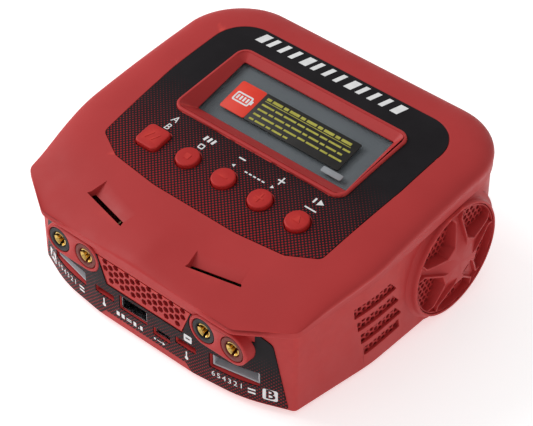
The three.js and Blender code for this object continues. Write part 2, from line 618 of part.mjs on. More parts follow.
// The sunk channel along an arm: it ramps down from the hub and leaves a ridge on both sides.
function guardChannel(index) {
  const half = [[6.2, 3.1], [19.8, 1.2], [22.3, 3]];
  const outline = [...half.map(([along, across]) => new THREE.Vector2(along, -across)),
    ...half.reverse().map(([along, across]) => new THREE.Vector2(along, across))];
  const floor = [[75.6, 6.2], [73.4, 11.5], [71.6, 22.4], [80, 22.4], [80, 6.2]];
  const channel = sidePrism(outline, 60, 80).intersect(
    prism(floor.map(([x, along]) => new THREE.Vector2(x, along)), -5, 5));
  return channel.rotate([GUARD.firstArm + (360 / GUARD.arms) * index, 0, 0]);
}

function honeycombPlate(outline, inside, u0, v0, from) {
  const centres = honeycombCentres(SCREEN.pitch, inside, 24, 24);
  const holes = centres.map(([u, v]) => hexagon(SCREEN.holeRadius, u + u0, v + v0));
  return sidePrism(outline, from, from + SCREEN.thickness, holes);
}

function fanGuard() {
  let guard = turnedOnX([[0, GUARD.backX], [GUARD.radius, GUARD.backX], [GUARD.radius, 72.6], [22.6, 73],
    [9.5, GUARD.hubX], [0, GUARD.hubX]], 40);
  for (let k = 0; k < GUARD.arms; k += 1) {
    guard = guard.subtract(sidePrism(guardWindow(k), 60, 80)).subtract(guardChannel(k));
  }
  const notch = box(20, 5, 3.4, GUARD.hubX, 10, 0);
  guard = guard.subtract(notch.rotate([GUARD.firstArm + (360 / GUARD.arms) * GUARD.notchedArm, 0, 0]));
  const plate = honeycombPlate(circle(GUARD.radius - 0.3, 0, 0, 40), (u, v) => Math.hypot(u, v) < 20.2,
    0, 0, GUARD.backX);
  return intoFanPlace(guard.add(plate));
}

function sideScreen() {
  const outline = [[38.5, 7.5], [70.5, 7.5], [70.5, 35.5], [38.5, 35.5]];
  return honeycombPlate(outline.map(([y, z]) => new THREE.Vector2(y, z)),
    (u, v) => Math.abs(u) < 13.5 && Math.abs(v) < 11.8, 54.5, 21.5, 64.9);
}

// ---------------------------------------------------------------- rear sockets
function acInlet() {
  const chamfered = (x, bottom, shoulder, top, chamfer) => roundedPolygon([
    [-x, bottom, 1, 1], [x, bottom, 1, 1], [x, shoulder, 1, 1],
    [chamfer, top, 1, 1], [-chamfer, top, 1, 1], [-x, shoulder, 1, 1]]);
  const outline = chamfered(13.5, -9.8, 5, 9.8, 8.5);
  const flange = outline.map((p) => new THREE.Vector2(p.x * 1.12, p.y * 1.14));
  const recess = frontPrism(chamfered(12, -7.6, 3.4, 7.8, 7.6), REAR_WALL_Y - 13.5, 140);
  let inlet = frontPrism(outline, REAR_WALL_Y - 16.5, REAR_WALL_Y + 1.7);
  inlet = inlet.add(frontPrism(flange, REAR_WALL_Y + 0.4, REAR_WALL_Y + 1.9)).subtract(recess);
  for (const [x, z] of [[-7, -1.6], [0, 2.4], [7, -1.6]]) {
    inlet = inlet.subtract(box(2.6, 8, 4.6, x, REAR_WALL_Y - 14.5, z));
  }
  return inlet.translate([INLET.x, 0, INLET.z]);
}

function acInletPins() {
  let pins = box(18, 1.2, 6, 0, REAR_WALL_Y - 17.5, 0.2);
  for (const [x, z] of [[-7, -1.6], [0, 2.4], [7, -1.6]]) {
    pins = pins.add(box(2, 15, 4, x, REAR_WALL_Y - 10.4, z));
  }
  return pins.translate([INLET.x, 0, INLET.z]);
}

function dcInput() {
  const outline = roundedPolygon([
    [-8.1, -4.1, 0.6, 1], [6.4, -4.1, 0.6, 1], [8.1, -2, 0.6, 1],
    [8.1, 2, 0.6, 1], [6.4, 4.1, 0.6, 1], [-8.1, 4.1, 0.6, 1]]);
  let socket = frontPrism(outline, REAR_WALL_Y - 15.5, REAR_WALL_Y + 1.5);
  for (const x of [-3.7, 3.7]) {
    socket = socket.subtract(cylinder(2.7, REAR_WALL_Y - 13.5, 140, 'y', 16).translate([x, 0, 0]));
    socket = socket.add(cylinder(1.8, REAR_WALL_Y - 14.5, REAR_WALL_Y, 'y', 12).translate([x, 0, 0]));
  }
  return socket.translate([DC_INPUT.x, 0, DC_INPUT.z]);
}

// ---------------------------------------------------------------- electronics
const BOARD_Z = 6.4;
const BOARD_TOP = BOARD_Z + 1.6;
const mainBoard = () => box(96, 46, 1.6, 0, 42, BOARD_Z + 0.8).add(box(60, 20, 1.6, 0, 26, BOARD_Z + 0.8));
const powerBoard = () => box(92, 42, 1.6, 0, 90, BOARD_Z + 0.8);

function transformer() {
  const core = box(32, 26, 25, 0, 84, 22.5).subtract(box(18, 30, 17, 0, 84, 22.5));
  const winding = box(16.6, 32, 15, 0, 84, 22.5);
  const leg = box(7, 26, 20, 0, 84, 22.5);
  return core.add(winding).add(leg);
}

function heatSink() {
  let sink = box(3, 40, 26, 34, 92, 22);
  for (let k = 0; k < 6; k += 1) {
    sink = sink.add(box(12, 1.6, 26, 41, 74.8 + 6.9 * k, 22));
  }
  return sink;
}

const bulkCapacitor = () => cylinder(7.5, 8.3, 36, 'z', 18).translate([-34, 92, 0]);

function caseScrew(x, y) {
  const seat = partingZ(y) - 6;
  const shank = cylinder(1.25, seat - 0.4, seat + 9, 'z', 10);
  const drive = box(4, 0.8, 1.4, 0, 0, seat - 2.6);
  return cylinder(2.8, seat - 2.6, seat - 0.2, 'z', 14).add(shank).subtract(drive).translate([x, y, 0]);
}

// ---------------------------------------------------------------- assembly
const charger = new THREE.Group();
charger.position.set(0, -(LIP_Y + REAR_Y) / 2, FOOT_HEIGHT);

function addPart(name, manifold, material) {
  const mesh = new THREE.Mesh(toGeometry(manifold), materials[material]);
  mesh.name = name;
  charger.add(mesh);
}

addPart('upper_case', upperCase(), 'red');
addPart('lower_case', lowerCase(), 'red');
addPart('top_label', topLabel(), 'label');
addPart('front_label', frontLabel(), 'label');
addPart('front_grille', frontGrille(), 'red');
addPart('display_window', displayPlate(79, 32, -1.7, -0.5), 'glass');
addPart('display_sticker', screenSticker(), 'film');
addPart('display_panel', displayPlate(80, 36, -5, -2), 'lcd');

const buttonNames = ['channel', 'stop', 'decrease', 'increase', 'start'];
buttonXs.forEach((x, i) => {
  addPart(`button_${buttonNames[i]}`, onTop(button(i === 0), BUTTON.y, x), 'redRubber');
  addPart(`switch_${buttonNames[i]}`, onTop(tactSwitch(), BUTTON.y, x), 'black');
});
addPart('button_board', onTop(box(90, 14, 1.6, 0, 0, -11.6), BUTTON.y), 'board');

for (const [channel, side] of [['a', -1], ['b', 1]]) {
  const negative = side * (side < 0 ? JACK.outer : JACK.inner);
  const positive = side * (side < 0 ? JACK.inner : JACK.outer);
  addPart(`jack_${channel}_negative`, jackSleeve(negative), 'gold');
  addPart(`jack_${channel}_positive`, jackSleeve(positive), 'gold');
  addPart(`jack_ring_${channel}_negative`, jackInsulator(negative), 'black');
  addPart(`jack_ring_${channel}_positive`, jackInsulator(positive), 'brown');
  addPart(`balance_socket_${channel}`, balanceHousing(side * BALANCE.x), 'white');
  addPart(`balance_pins_${channel}`, balancePins(side * BALANCE.x), 'gold');
  addPart(`probe_socket_${channel}`, probeSocket(side * PROBE.x), 'black');
}
addPart('usb_shell', usbShell(), 'steel');
addPart('usb_tongue', usbTongue(), 'black');
addPart('micro_usb_shell', microUsbShell(), 'steel');

for (const [sideName, turn] of [['right', (m) => m], ['left', mirrorX]]) {
  addPart(`fan_frame_${sideName}`, turn(fanFrame()), 'black');
  addPart(`fan_impeller_${sideName}`, turn(fanImpeller()), 'black');
  addPart(`fan_guard_${sideName}`, turn(fanGuard()), 'red');
  addPart(`side_screen_${sideName}`, turn(sideScreen()), 'red');
}
addPart('ac_inlet', acInlet(), 'black');
addPart('ac_inlet_pins', acInletPins(), 'steel');
addPart('dc_input', dcInput(), 'yellow');
addPart('main_board', mainBoard(), 'board');
addPart('power_board', powerBoard(), 'board');
addPart('transformer', transformer(), 'ferrite');
addPart('heat_sink', heatSink(), 'aluminium');
addPart('bulk_capacitor', bulkCapacitor(), 'black');

footPlaces.forEach(([x, y]) => {
  const place = `${y < 60 ? 'front' : 'rear'}_${x < 0 ? 'left' : 'right'}`;
  addPart(`foot_${place}`, cylinder(FOOT.radius, -FOOT_HEIGHT, 0.5, 'z', 18).translate([x, y, 0]), 'black');
});
postPlaces.forEach(([x, y]) => {
  const place = `${y < 60 ? 'front' : 'rear'}_${x < 0 ? 'left' : 'right'}`;
  addPart(`case_screw_${place}`, caseScrew(x, y), 'steel');
});

export default charger;
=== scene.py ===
"""Looks of the balance battery charger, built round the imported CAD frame.

Pieces are drawn in millimetres in "case coordinates": X = 0 on the mirror plane, Y = 0 at the front
faces of the jacks, Z = 0 at the underside of the case. finish_piece() turns them into the row frame.
"""
import math

import bmesh
import bpy
from mathutils import Matrix, Vector
from mathutils.bvhtree import BVHTree
from mathutils.interpolate import poly_3d_calc


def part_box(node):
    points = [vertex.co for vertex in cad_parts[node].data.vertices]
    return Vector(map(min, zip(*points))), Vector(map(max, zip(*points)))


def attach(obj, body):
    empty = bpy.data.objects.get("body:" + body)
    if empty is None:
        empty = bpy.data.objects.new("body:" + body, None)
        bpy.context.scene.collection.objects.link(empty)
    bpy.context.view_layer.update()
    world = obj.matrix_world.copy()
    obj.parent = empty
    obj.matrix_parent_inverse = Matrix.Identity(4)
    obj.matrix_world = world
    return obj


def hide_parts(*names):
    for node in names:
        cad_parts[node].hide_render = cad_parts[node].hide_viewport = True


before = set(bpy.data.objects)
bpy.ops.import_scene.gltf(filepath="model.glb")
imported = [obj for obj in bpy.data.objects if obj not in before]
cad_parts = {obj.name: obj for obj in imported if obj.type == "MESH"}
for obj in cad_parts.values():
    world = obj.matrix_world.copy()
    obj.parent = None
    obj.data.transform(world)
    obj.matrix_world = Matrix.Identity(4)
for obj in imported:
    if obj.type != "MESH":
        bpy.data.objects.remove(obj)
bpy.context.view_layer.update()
BODY = "charger_body"

# -------- driving sizes, millimetres
MM = 0.001
WALL = 2.4
SEAM = 0.3
LIP_Y = -4.2
REAR_Y = 131.5
REAR_WALL_Y = 129.5
PARTING_FRONT = 39.0
PARTING_SLOPE = 0.1
LIP_BAND = 3.0
TOP_RISE = 0.2767
TOP_SAG = 0.000958
CROWN_SHARPNESS = 0.7
SHOULDER_BULGE = 3.2
FRONT_RIDGE = 0.055          # the front slope falls away on both sides of a soft middle ridge
RIDGE_HEIGHT = 1.9
RIDGE_FADE = (4, 28)         # the ridge dies out between these two Y

JACK_Z = 26.5
JACK_X = (30.1, 44.1)
JACK_BOSS_R = 6.9
FAN_Y, FAN_Z = 93.0, 24.4
BUTTON_Y = 44.4
BUTTON_PITCH = 18.1
BUTTON_NAMES = ("channel", "stop", "decrease", "increase", "start")
SQUARE_CAP, SQUARE_CAP_R, ROUND_CAP_R = 10.6, 2.2, 4.75
LCD_Y, LCD_Z, LCD_TILT = 84.2, 55.25, 14.2
LCD_SIZE = (75.2, 28.1)
BEZEL_Y, BEZEL_SIZE, BEZEL_R = 81.8, (84.8, 42.0), 5.0
BALANCE_X, BALANCE_Z = 42.3, 12.8
PROBE_X, PROBE_Z = 20.9, 13.3
GRILLE_Z, GRILLE_HALF = (18.9, 31.0), (19.2, 23.8)
POST_R = 4.4
POST_PLACES = [(x, y) for x in (-56, 56) for y in (27, 118)]
FOOT_PLACES = [(x, y) for x in (-50, 50) for y in (17, 108)]

# x, z, width and height of connectors that pass through a wall
USB_A = (-5.8, 14.0, 13.2, 5.7)
USB_MICRO = (8.8, 10.4, 7.6, 2.8)
MAINS_INLET = (-24, 19, 27, 19.6)
DC_INLET = (22, 14, 16.2, 8.2)

# The frame says where case coordinates start: the lip gives Y and the main board's underside gives Z.
BOARD_UNDERSIDE = 6.4
SHIFT_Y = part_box("upper_case")[0][1] / MM - LIP_Y
SHIFT_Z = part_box("main_board")[0][2] / MM - BOARD_UNDERSIDE
CASE_TO_ROW = Matrix.Scale(MM, 4) @ Matrix.Translation((0, SHIFT_Y, SHIFT_Z))


def parting_z(y):
    return PARTING_FRONT + PARTING_SLOPE * (y - LIP_Y)


def top_z(y):
    t = y - LIP_Y
    return PARTING_FRONT + LIP_BAND + TOP_RISE * t - TOP_SAG * t * t


def top_tilt(y):
    return math.atan(TOP_RISE - 2 * TOP_SAG * (y - LIP_Y))


def smoothstep(value, low, high):
    t = min(max((value - low) / (high - low), 0.0), 1.0)
    return t * t * (3 - 2 * t)


# -------- outlines
def arc_corner(corner, before, after):
    """Points of an arc that rounds a polygon's corner (x, y, radius, steps)."""
    x, y, radius, steps = corner
    here = Vector((x, y))
    back = (Vector(before[:2]) - here).normalized()
    ahead = (Vector(after[:2]) - here).normalized()
    half = back.angle(ahead) / 2
    reach = radius / math.tan(half)
    start = here + back * reach
    end = here + ahead * reach
    centre = here + (back + ahead).normalized() * (radius / math.sin(half))
    first = math.atan2(start.y - centre.y, start.x - centre.x)
    sweep = math.atan2(end.y - centre.y, end.x - centre.x) - first
    sweep = math.atan2(math.sin(sweep), math.cos(sweep))
    angles = [first + sweep * k / steps for k in range(steps + 1)]
    return [Vector((centre.x + radius * math.cos(a), centre.y + radius * math.sin(a))) for a in angles]


def rounded(corners, spans=None):
    """A closed outline with rounded corners. spans gives how many pieces each straight edge has."""
    count = len(corners)
    points = []
    for i, corner in enumerate(corners):
        arc = arc_corner(corner, corners[i - 1], corners[(i + 1) % count])
        points += arc
        if spans and spans[i] > 1:
            following = corners[(i + 1) % count]
            nxt = arc_corner(following, corner, corners[(i + 2) % count])[0]
            points += [arc[-1].lerp(nxt, k / spans[i]) for k in range(1, spans[i])]
    return points


def mirrored(half, spans=None):
    """The right half's corners, front to rear, completed on the left."""
    left = [(-x, y, r, n) for x, y, r, n in reversed(half)]
    every = None
    if spans:
        every = spans[:-1] + spans[-3::-1] + [spans[-1]]
    return rounded(list(half) + left, every)


def rectangle(width, height, radius=0.0, steps=5, x=0.0, y=0.0):
    w, h = width / 2, height / 2
    corners = [(x + i * w, y + k * h, radius, steps) for i, k in ((-1, -1), (1, -1), (1, 1), (-1, 1))]
    return rounded(corners) if radius > 0 else [Vector(corner[:2]) for corner in corners]


def circle(radius, x=0.0, y=0.0, steps=48, turn=0.0):
    angles = [turn + 2 * math.pi * k / steps for k in range(steps)]
    return [Vector((x + radius * math.cos(a), y + radius * math.sin(a))) for a in angles]


def inset(points, distance):
    moved = []
    for i, p in enumerate(points):
        along = points[(i + 1) % len(points)] - points[i - 1]
        moved.append(p + Vector((-along.y, along.x)).normalized() * distance)
    return moved


def honeycomb(pitch, inside, reach):
    """Hole centres on a triangular grid that lie inside a region."""
    column = pitch * math.sqrt(0.75)
    n = int(reach / column) + 1
    centres = []
    for i in range(-n, n + 1):
        for k in range(-n, n + 1):
            u, v = i * column, (k + 0.5 * (i % 2)) * pitch
            if inside(u, v):
                centres.append((u, v))
    return centres


# The upright edge of the upper case, and the rim where its rounded shoulder meets the flat top.
EDGE_SPANS = [7, 14, 30, 34, 28]
UPPER_EDGE = mirrored([(47.5, LIP_Y, 7, 8), (67.6, 8.6, 5, 8), (72.3, 46, 70, 8), (72.3, REAR_Y, 26, 18)],
                      EDGE_SPANS)
UPPER_RIM = mirrored([(40.5, 0.8, 6, 8), (52.2, 8.3, 8, 8), (56.8, 44.7, 70, 8), (56.8, 113.5, 14, 18)],
                     EDGE_SPANS)
LOWER_EDGE = mirrored([(24, 0.6, 40, 6), (46, 3.2, 60, 6), (65, 11, 2.6, 8), (70, 48, 80, 8),
                       (70, REAR_WALL_Y, 20, 16)], [4, 6, 10, 24, 34, 14])
LABEL_EDGE = mirrored([(20, 27.8, 30, 8), (42.3, 30.2, 3, 6), (54.6, 36.5, 3, 6), (57, 78, 60, 8),
                       (56.6, 116.5, 15, 16)])


# -------- solids, still in millimetres
def new_object(name, data):
    piece = bpy.data.objects.new(name, data)
    bpy.context.scene.collection.objects.link(piece)
    return piece


def weld(mesh, distance, outwards=False):
    """Joins the points of a mesh that coincide. If asked, its faces are turned outwards."""
    work = bmesh.new()
    work.from_mesh(mesh)
    bmesh.ops.remove_doubles(work, verts=work.verts, dist=distance)
    if outwards:
        bmesh.ops.recalc_face_normals(work, faces=work.faces)
    work.to_mesh(mesh)
    work.free()
    return mesh


def solid(points, faces):
    mesh = bpy.data.meshes.new("solid")
    mesh.from_pydata([tuple(p) for p in points], [], faces)
    return new_object("solid", weld(mesh, 1e-5, outwards=True))


def loft(rings, fan=False, ends=(True, True)):
    """Joins rings of equal length. The ends are closed by one face, or by a fan round a middle point."""
    count = len(rings[0])
    points = [p for ring in rings for p in ring]
    faces = []
    for r in range(len(rings) - 1):
        for i in range(count):
            j = (i + 1) % count
            faces.append((r * count + i, r * count + j, (r + 1) * count + j, (r + 1) * count + i))
    for start, wanted in zip((0, (len(rings) - 1) * count), ends):
        if not wanted:
            continue
        if not fan:
            faces.append(tuple(range(start, start + count)))
            continue
        middle = sum((points[start + i] for i in range(count)), Vector((0, 0, 0))) / count
        points.append(middle)
        faces += [(start + i, start + (i + 1) % count, len(points) - 1) for i in range(count)]
    return solid(points, faces)


AXES = {
    "z": lambda u, v, w: Vector((u, v, w)),
    "y": lambda u, v, w: Vector((u, w, v)),
    "x": lambda u, v, w: Vector((w, u, v)),
}


def prism(outline, low, high, axis="z"):
    """An outline in the plane across the axis, extruded along the axis."""
    at = AXES[axis]
    return loft([[at(p.x, p.y, level) for p in outline] for level in (low, high)])


def many_prisms(outlines, low, high, axis="z"):
    at = AXES[axis]
    points, faces = [], []
    for outline in outlines:
        n, start = len(outline), len(points)
        points += [at(p.x, p.y, low) for p in outline] + [at(p.x, p.y, high) for p in outline]
        faces += [tuple(range(start, start + n)), tuple(range(start + n, start + 2 * n))]
        faces += [(start + i, start + (i + 1) % n, start + n + (i + 1) % n, start + n + i) for i in range(n)]
    return solid(points, faces)


def soft_prism(outline, low, high, top, steps):
    """An upright prism whose top edge is rounded."""
    rings = [[Vector((p.x, p.y, level)) for p in outline] for level in (low, high - top)]
    for k in range(1, steps + 1):
        a = math.pi / 2 * k / steps
        ring = inset(outline, top * (1 - math.cos(a)))
        rings.append([Vector((p.x, p.y, high - top + top * math.sin(a))) for p in ring])
    return loft(rings)


def lathe(profile, axis="z", segments=72, x=0.0, y=0.0, z=0.0):
    """Turns (radius, height) points round an axis. The profile starts and ends on the axis, or closes."""
    at = AXES[axis]
    closed = profile[0][0] > 1e-6
    count = len(profile)
    points, faces = [], []
    for s in range(segments):
        a = 2 * math.pi * s / segments
        points += [at(r * math.cos(a), r * math.sin(a), h) for r, h in profile]
    for s in range(segments):
        t = (s + 1) % segments
        for i in range(count if closed else count - 1):
            j = (i + 1) % count
            face = [s * count + i, s * count + j, t * count + j, t * count + i]
            if profile[i][0] < 1e-6:
                face = [s * count + i, s * count + j, t * count + j]
            elif profile[j][0] < 1e-6:
                face = [s * count + i, s * count + j, t * count + i]
            faces.append(tuple(face))
    return solid([p + Vector((x, y, z)) for p in points], faces)


def block(x0, x1, y0, y1, z0, z1):
    return prism([Vector(p) for p in ((x0, y0), (x1, y0), (x1, y1), (x0, y1))], z0, z1)


def moved(piece, matrix):
    piece.data.transform(matrix)
    if matrix.determinant() < 0:
        piece.data.flip_normals()
    return piece


def flipped(piece):
    """The mirror image on the left side."""
    return moved(piece, Matrix.Scale(-1, 4, (1, 0, 0)))


def bake(piece):
    """Puts the result of a piece's modifiers into its mesh."""
    graph = bpy.context.evaluated_depsgraph_get()
    result = bpy.data.meshes.new_from_object(piece.evaluated_get(graph))
    old = piece.data
    piece.modifiers.clear()
    piece.data = result
    bpy.data.meshes.remove(old)
    return piece


def combine(piece, tool, operation):
    """A boolean that uses the tool up and puts the result into the piece."""
    before = len(piece.data.polygons)
    modifier = piece.modifiers.new("combine", "BOOLEAN")
    modifier.operation = operation
    modifier.solver = "MANIFOLD"
    modifier.object = tool
    bake(piece)
    if not piece.data.polygons:
        raise RuntimeError(f"{operation} emptied a piece that had {before} faces")
    bpy.data.objects.remove(tool)
    return piece


def cut(piece, *tools):
    for tool in tools:
        combine(piece, tool, "DIFFERENCE")
    return piece


def join(piece, *tools):
    for tool in tools:
        combine(piece, tool, "UNION")
    return piece


def keep_inside(piece, tool):
    return combine(piece, tool, "INTERSECT")


def soften(piece, width, angle=40, segments=2, clamp=True):
    bevel = piece.modifiers.new("edges", "BEVEL")
    bevel.width = width
    bevel.segments = segments
    bevel.limit_method = "ANGLE"
    bevel.angle_limit = math.radians(angle)
    bevel.use_clamp_overlap = clamp
    bevel.miter_outer = "MITER_ARC"
    return bake(piece)


def on_top(y, x=0.0):
    """From a local frame lying on the top surface (z outwards) to case coordinates."""
    return Matrix.Translation((x, y, top_z(y))) @ Matrix.Rotation(top_tilt(y), 4, "X")


ON_DISPLAY = Matrix.Translation((0, LCD_Y, LCD_Z)) @ Matrix.Rotation(math.radians(LCD_TILT), 4, "X")


def guided_normals(piece, guide, near=0.08, facing=0.9):
    """Corner normals of a cut piece. Where it still lies on the guide surface, it takes the guide's."""
    corners = [v.co.copy() for v in guide.data.vertices]
    normals = [v.normal.copy() for v in guide.data.vertices]
    guide.data.calc_loop_triangles()
    triangles = [tuple(t.vertices) for t in guide.data.loop_triangles]
    tree = BVHTree.FromPolygons(corners, triangles)

    def on_guide(point):
        place, flat, index, distance = tree.find_nearest(point)
        chosen = triangles[index]
        weights = poly_3d_calc([corners[i] for i in chosen], place)
        smooth = sum((normals[i] * w for i, w in zip(chosen, weights)), Vector((0, 0, 0)))
        return distance, flat, smooth.normalized()

    mesh = piece.data
    by_vertex = [on_guide(v.co) for v in mesh.vertices]
    result = [Vector(n.vector) for n in mesh.corner_normals]
    for polygon in mesh.polygons:
        distance, flat, smooth = on_guide(polygon.center)
        lies = distance < near and polygon.normal.dot(flat) > facing
        for loop in polygon.loop_indices:
            gap, _, smooth = by_vertex[mesh.loops[loop].vertex_index]
            if lies or (gap < 0.02 and polygon.normal.dot(smooth) > 0.6):
                result[loop] = smooth
    bpy.data.objects.remove(guide)
    return result


def finish_piece(piece, name, material, body=BODY, replaces=(), sharp=34, guide=None):
    piece.name = name
    piece.data.name = name
    piece.data.polygons.foreach_set("use_smooth", [True] * len(piece.data.polygons))
    piece.data.set_sharp_from_angle(angle=math.radians(sharp))
    normals = guided_normals(piece, guide) if guide else None
    piece.data.transform(CASE_TO_ROW)
    if normals:
        piece.data.normals_split_custom_set(normals)
    piece.data.materials.clear()
    piece.data.materials.append(material)
    piece.data.update()
    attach(piece, body)
    if replaces:
        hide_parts(*replaces)
    return piece


# -------- materials
def srgb(r, g, b):
    def linear(c):
        c /= 255
        return c / 12.92 if c <= 0.04045 else ((c + 0.055) / 1.055) ** 2.4
    return (linear(r), linear(g), linear(b), 1.0)


class Paint:
    """A node material with short calls for the nodes that the finishes share."""

    def __init__(self, name, roughness=0.5, metallic=0.0, specular=0.5):
        self.material = bpy.data.materials.new(name)
        self.material.use_nodes = True
        self.nodes = self.material.node_tree.nodes
        self.links = self.material.node_tree.links
        self.shader = self.nodes["Principled BSDF"]
        self.shader.inputs["Roughness"].default_value = roughness
        self.shader.inputs["Metallic"].default_value = metallic
        self.shader.inputs["Specular IOR Level"].default_value = specular
        self.coords = self.nodes.new("ShaderNodeTexCoord").outputs["Object"]

    def node(self, kind, **settings):
        made = self.nodes.new(kind)
        for key, value in settings.items():
            setattr(made, key, value)
        return made

    def link(self, source, target):
        self.links.new(source, target)

    def noise(self, scale, detail=3.0, rough=0.5):
        made = self.node("ShaderNodeTexNoise")
        made.inputs["Scale"].default_value = scale
        made.inputs["Detail"].default_value = detail
        made.inputs["Roughness"].default_value = rough
        self.link(self.coords, made.inputs["Vector"])
        return made.outputs["Fac"]

    def math(self, operation, a, b=0.0):
        made = self.node("ShaderNodeMath", operation=operation)
        for socket, value in zip(made.inputs, (a, b)):
            if isinstance(value, (int, float)):
                socket.default_value = value
            else:
                self.link(value, socket)
        return made.outputs[0]

    def span(self, value, from_low, from_high, to_low, to_high):
        made = self.node("ShaderNodeMapRange")
        self.link(value, made.inputs[0])
        for i, number in enumerate((from_low, from_high, to_low, to_high)):
            made.inputs[i + 1].default_value = number
        return made.outputs[0]

    def cloud(self, scale, detail=4, low=0.0, high=1.0):
        """Slow noise spread over the whole span from low to high."""
        return self.span(self.noise(scale, detail), 0.3, 0.7, low, high)

    def mix(self, factor, a, b):
        made = self.node("ShaderNodeMix", data_type="RGBA")
        self.link(factor, made.inputs["Factor"])
        for name, value in (("A", a), ("B", b)):
            socket = [s for s in made.inputs if s.name == name and s.type == "RGBA"][0]
            if isinstance(value, tuple):
                socket.default_value = value
            else:
                self.link(value, socket)
        return [s for s in made.outputs if s.type == "RGBA"][0]

    def colour(self, value):
        self.link(value, self.shader.inputs["Base Color"])

    def rough(self, value):
        self.link(value, self.shader.inputs["Roughness"])

    def bump(self, height, strength, distance):
        made = self.node("ShaderNodeBump")
        made.inputs["Strength"].default_value = strength
        made.inputs["Distance"].default_value = distance
        self.link(height, made.inputs["Height"])
        self.link(made.outputs["Normal"], self.shader.inputs["Normal"])

    def edges(self):
        """1 on sharp outer edges, where plastic() paints its edge highlight, 0 elsewhere."""
        geometry = self.node("ShaderNodeNewGeometry")
        return self.span(geometry.outputs["Pointiness"], 0.52, 0.62, 0.0, 1.0)

    def axes(self):
        made = self.node("ShaderNodeSeparateXYZ")
        self.link(self.coords, made.inputs[0])
        return made.outputs


def plastic(name, base, deep, edge, rough=(0.38, 0.5), grain=2600.0, strength=0.12):
    """Moulded plastic: two close tones, a fine spark-eroded grain, and a painted highlight that lightens the
    outer edges.

    base, deep and edge are display colours from 0 to 255; edge is the colour of the painted edge highlight.
    """
    p = Paint(name, specular=0.22)
    base, deep, edge = srgb(*base), srgb(*deep), srgb(*edge)
    body = p.mix(p.cloud(35), base, deep)
    # painted highlight: sharp outer edges are lightened towards the edge colour, in patches set by noise
    edge_highlight = p.math("MULTIPLY", p.edges(), p.span(p.noise(420, 3), 0.35, 0.65, 0.35, 1.0))
    p.colour(p.mix(edge_highlight, body, edge))
    p.rough(p.cloud(160, 4, *rough))
    p.bump(p.noise(grain, 2, 0.6), strength, 0.00012)
    return p.material


def metal(name, base, deep, rough=(0.16, 0.32), brushed=False):
    p = Paint(name, metallic=1.0)
    p.colour(p.mix(p.cloud(240), srgb(*base), srgb(*deep)))
    p.rough(p.cloud(900, 4, *rough))
    p.bump(p.noise(5200 if brushed else 1800, 2), 0.1, 0.00005)
    return p.material


def printed_label(name, low, high, axis):
    """Dark printed film whose dark red dots grow towards its front or lower edge."""
    p = Paint(name, specular=0.1)
    x, y, z = p.axes()
    across = y if axis == "y" else z
    turn = 2 * math.pi / (1.2 * MM) * math.sqrt(0.5)
    u = p.math("COSINE", p.math("MULTIPLY", p.math("ADD", x, across), turn))
    v = p.math("COSINE", p.math("MULTIPLY", p.math("SUBTRACT", x, across), turn))
    dots = p.math("MULTIPLY", p.math("ADD", u, v), 0.5)
    need = p.span(across, low * MM, high * MM, 0.05, 1.1)
    mask = p.span(p.math("SUBTRACT", dots, need), 0.0, 0.3, 0.0, 1.0)
    film = p.mix(p.cloud(90, 3), srgb(30, 27, 30), srgb(24, 21, 24))
    p.colour(p.mix(mask, film, srgb(158, 26, 32)))
    p.rough(p.cloud(300, 3, 0.42, 0.52))
    p.bump(p.noise(1500, 2), 0.05, 0.00005)
    return p.material


def clear_glass(name):
    """A clear window: you look straight through it, with a gloss that grows at grazing angles."""
    p = Paint(name)
    p.nodes.remove(p.shader)
    gloss = p.node("ShaderNodeBsdfGlossy")
    p.link(p.cloud(120, 4, 0.03, 0.09), gloss.inputs["Roughness"])
    through = p.node("ShaderNodeBsdfTransparent")
    weight = p.node("ShaderNodeFresnel")
    weight.inputs["IOR"].default_value = 1.15
    blend = p.node("ShaderNodeMixShader")
    p.link(weight.outputs[0], blend.inputs[0])
    p.link(through.outputs[0], blend.inputs[1])
    p.link(gloss.outputs[0], blend.inputs[2])
    out = [n for n in p.nodes if n.type == "OUTPUT_MATERIAL"][0]
    p.link(blend.outputs[0], out.inputs["Surface"])
    return p.material


def display_glass(name):
    """The display's grey polariser with faint character cells."""
    p = Paint(name, specular=0.15)
    x, y, _ = p.axes()
    cells = p.math("MULTIPLY", p.math("SINE", p.math("MULTIPLY", x, 2 * math.pi / (3.6 * MM))),
                   p.math("SINE", p.math("MULTIPLY", y, 2 * math.pi / (5.6 * MM))))
    base = p.mix(p.cloud(28, 3), srgb(112, 118, 122), srgb(102, 108, 113))
    p.colour(p.mix(p.span(cells, 0.2, 0.9, 0.0, 0.08), base, srgb(80, 86, 92)))
    p.rough(p.cloud(400, 3, 0.4, 0.52))
    return p.material


RED = plastic("red_shell", (181, 53, 53), (174, 49, 49), (206, 68, 62), (0.44, 0.56))
RED_BUTTON = plastic("red_button", (184, 38, 36), (176, 35, 33), (204, 58, 50), (0.42, 0.55), 3400.0)
BLACK = plastic("black_moulded", (30, 29, 31), (24, 23, 25), (62, 60, 62), (0.4, 0.56))
RING_RED = plastic("ring_red", (108, 42, 36), (96, 36, 31), (140, 66, 56), (0.4, 0.5))
PRINT = plastic("white_print", (224, 224, 224), (210, 210, 212), (235, 235, 235), (0.45, 0.6))
YELLOW = plastic("yellow_moulded", (214, 170, 50), (204, 160, 44), (232, 196, 90), (0.4, 0.52))
RUBBER = plastic("foot_rubber", (22, 22, 22), (16, 16, 16), (52, 52, 52), (0.7, 0.9), 1400.0, 0.3)
FERRITE = plastic("ferrite", (58, 60, 64), (48, 50, 54), (90, 92, 96), (0.6, 0.8), 1200.0, 0.25)
BOARD = plastic("board_green", (26, 84, 54), (20, 70, 46), (90, 130, 90), (0.3, 0.45), 900.0)
ORANGE = plastic("tile_orange", (228, 62, 44), (220, 56, 40), (236, 84, 62), (0.35, 0.45))
TILE_DARK = plastic("tile_dark", (36, 35, 34), (30, 29, 28), (60, 58, 56), (0.35, 0.45))
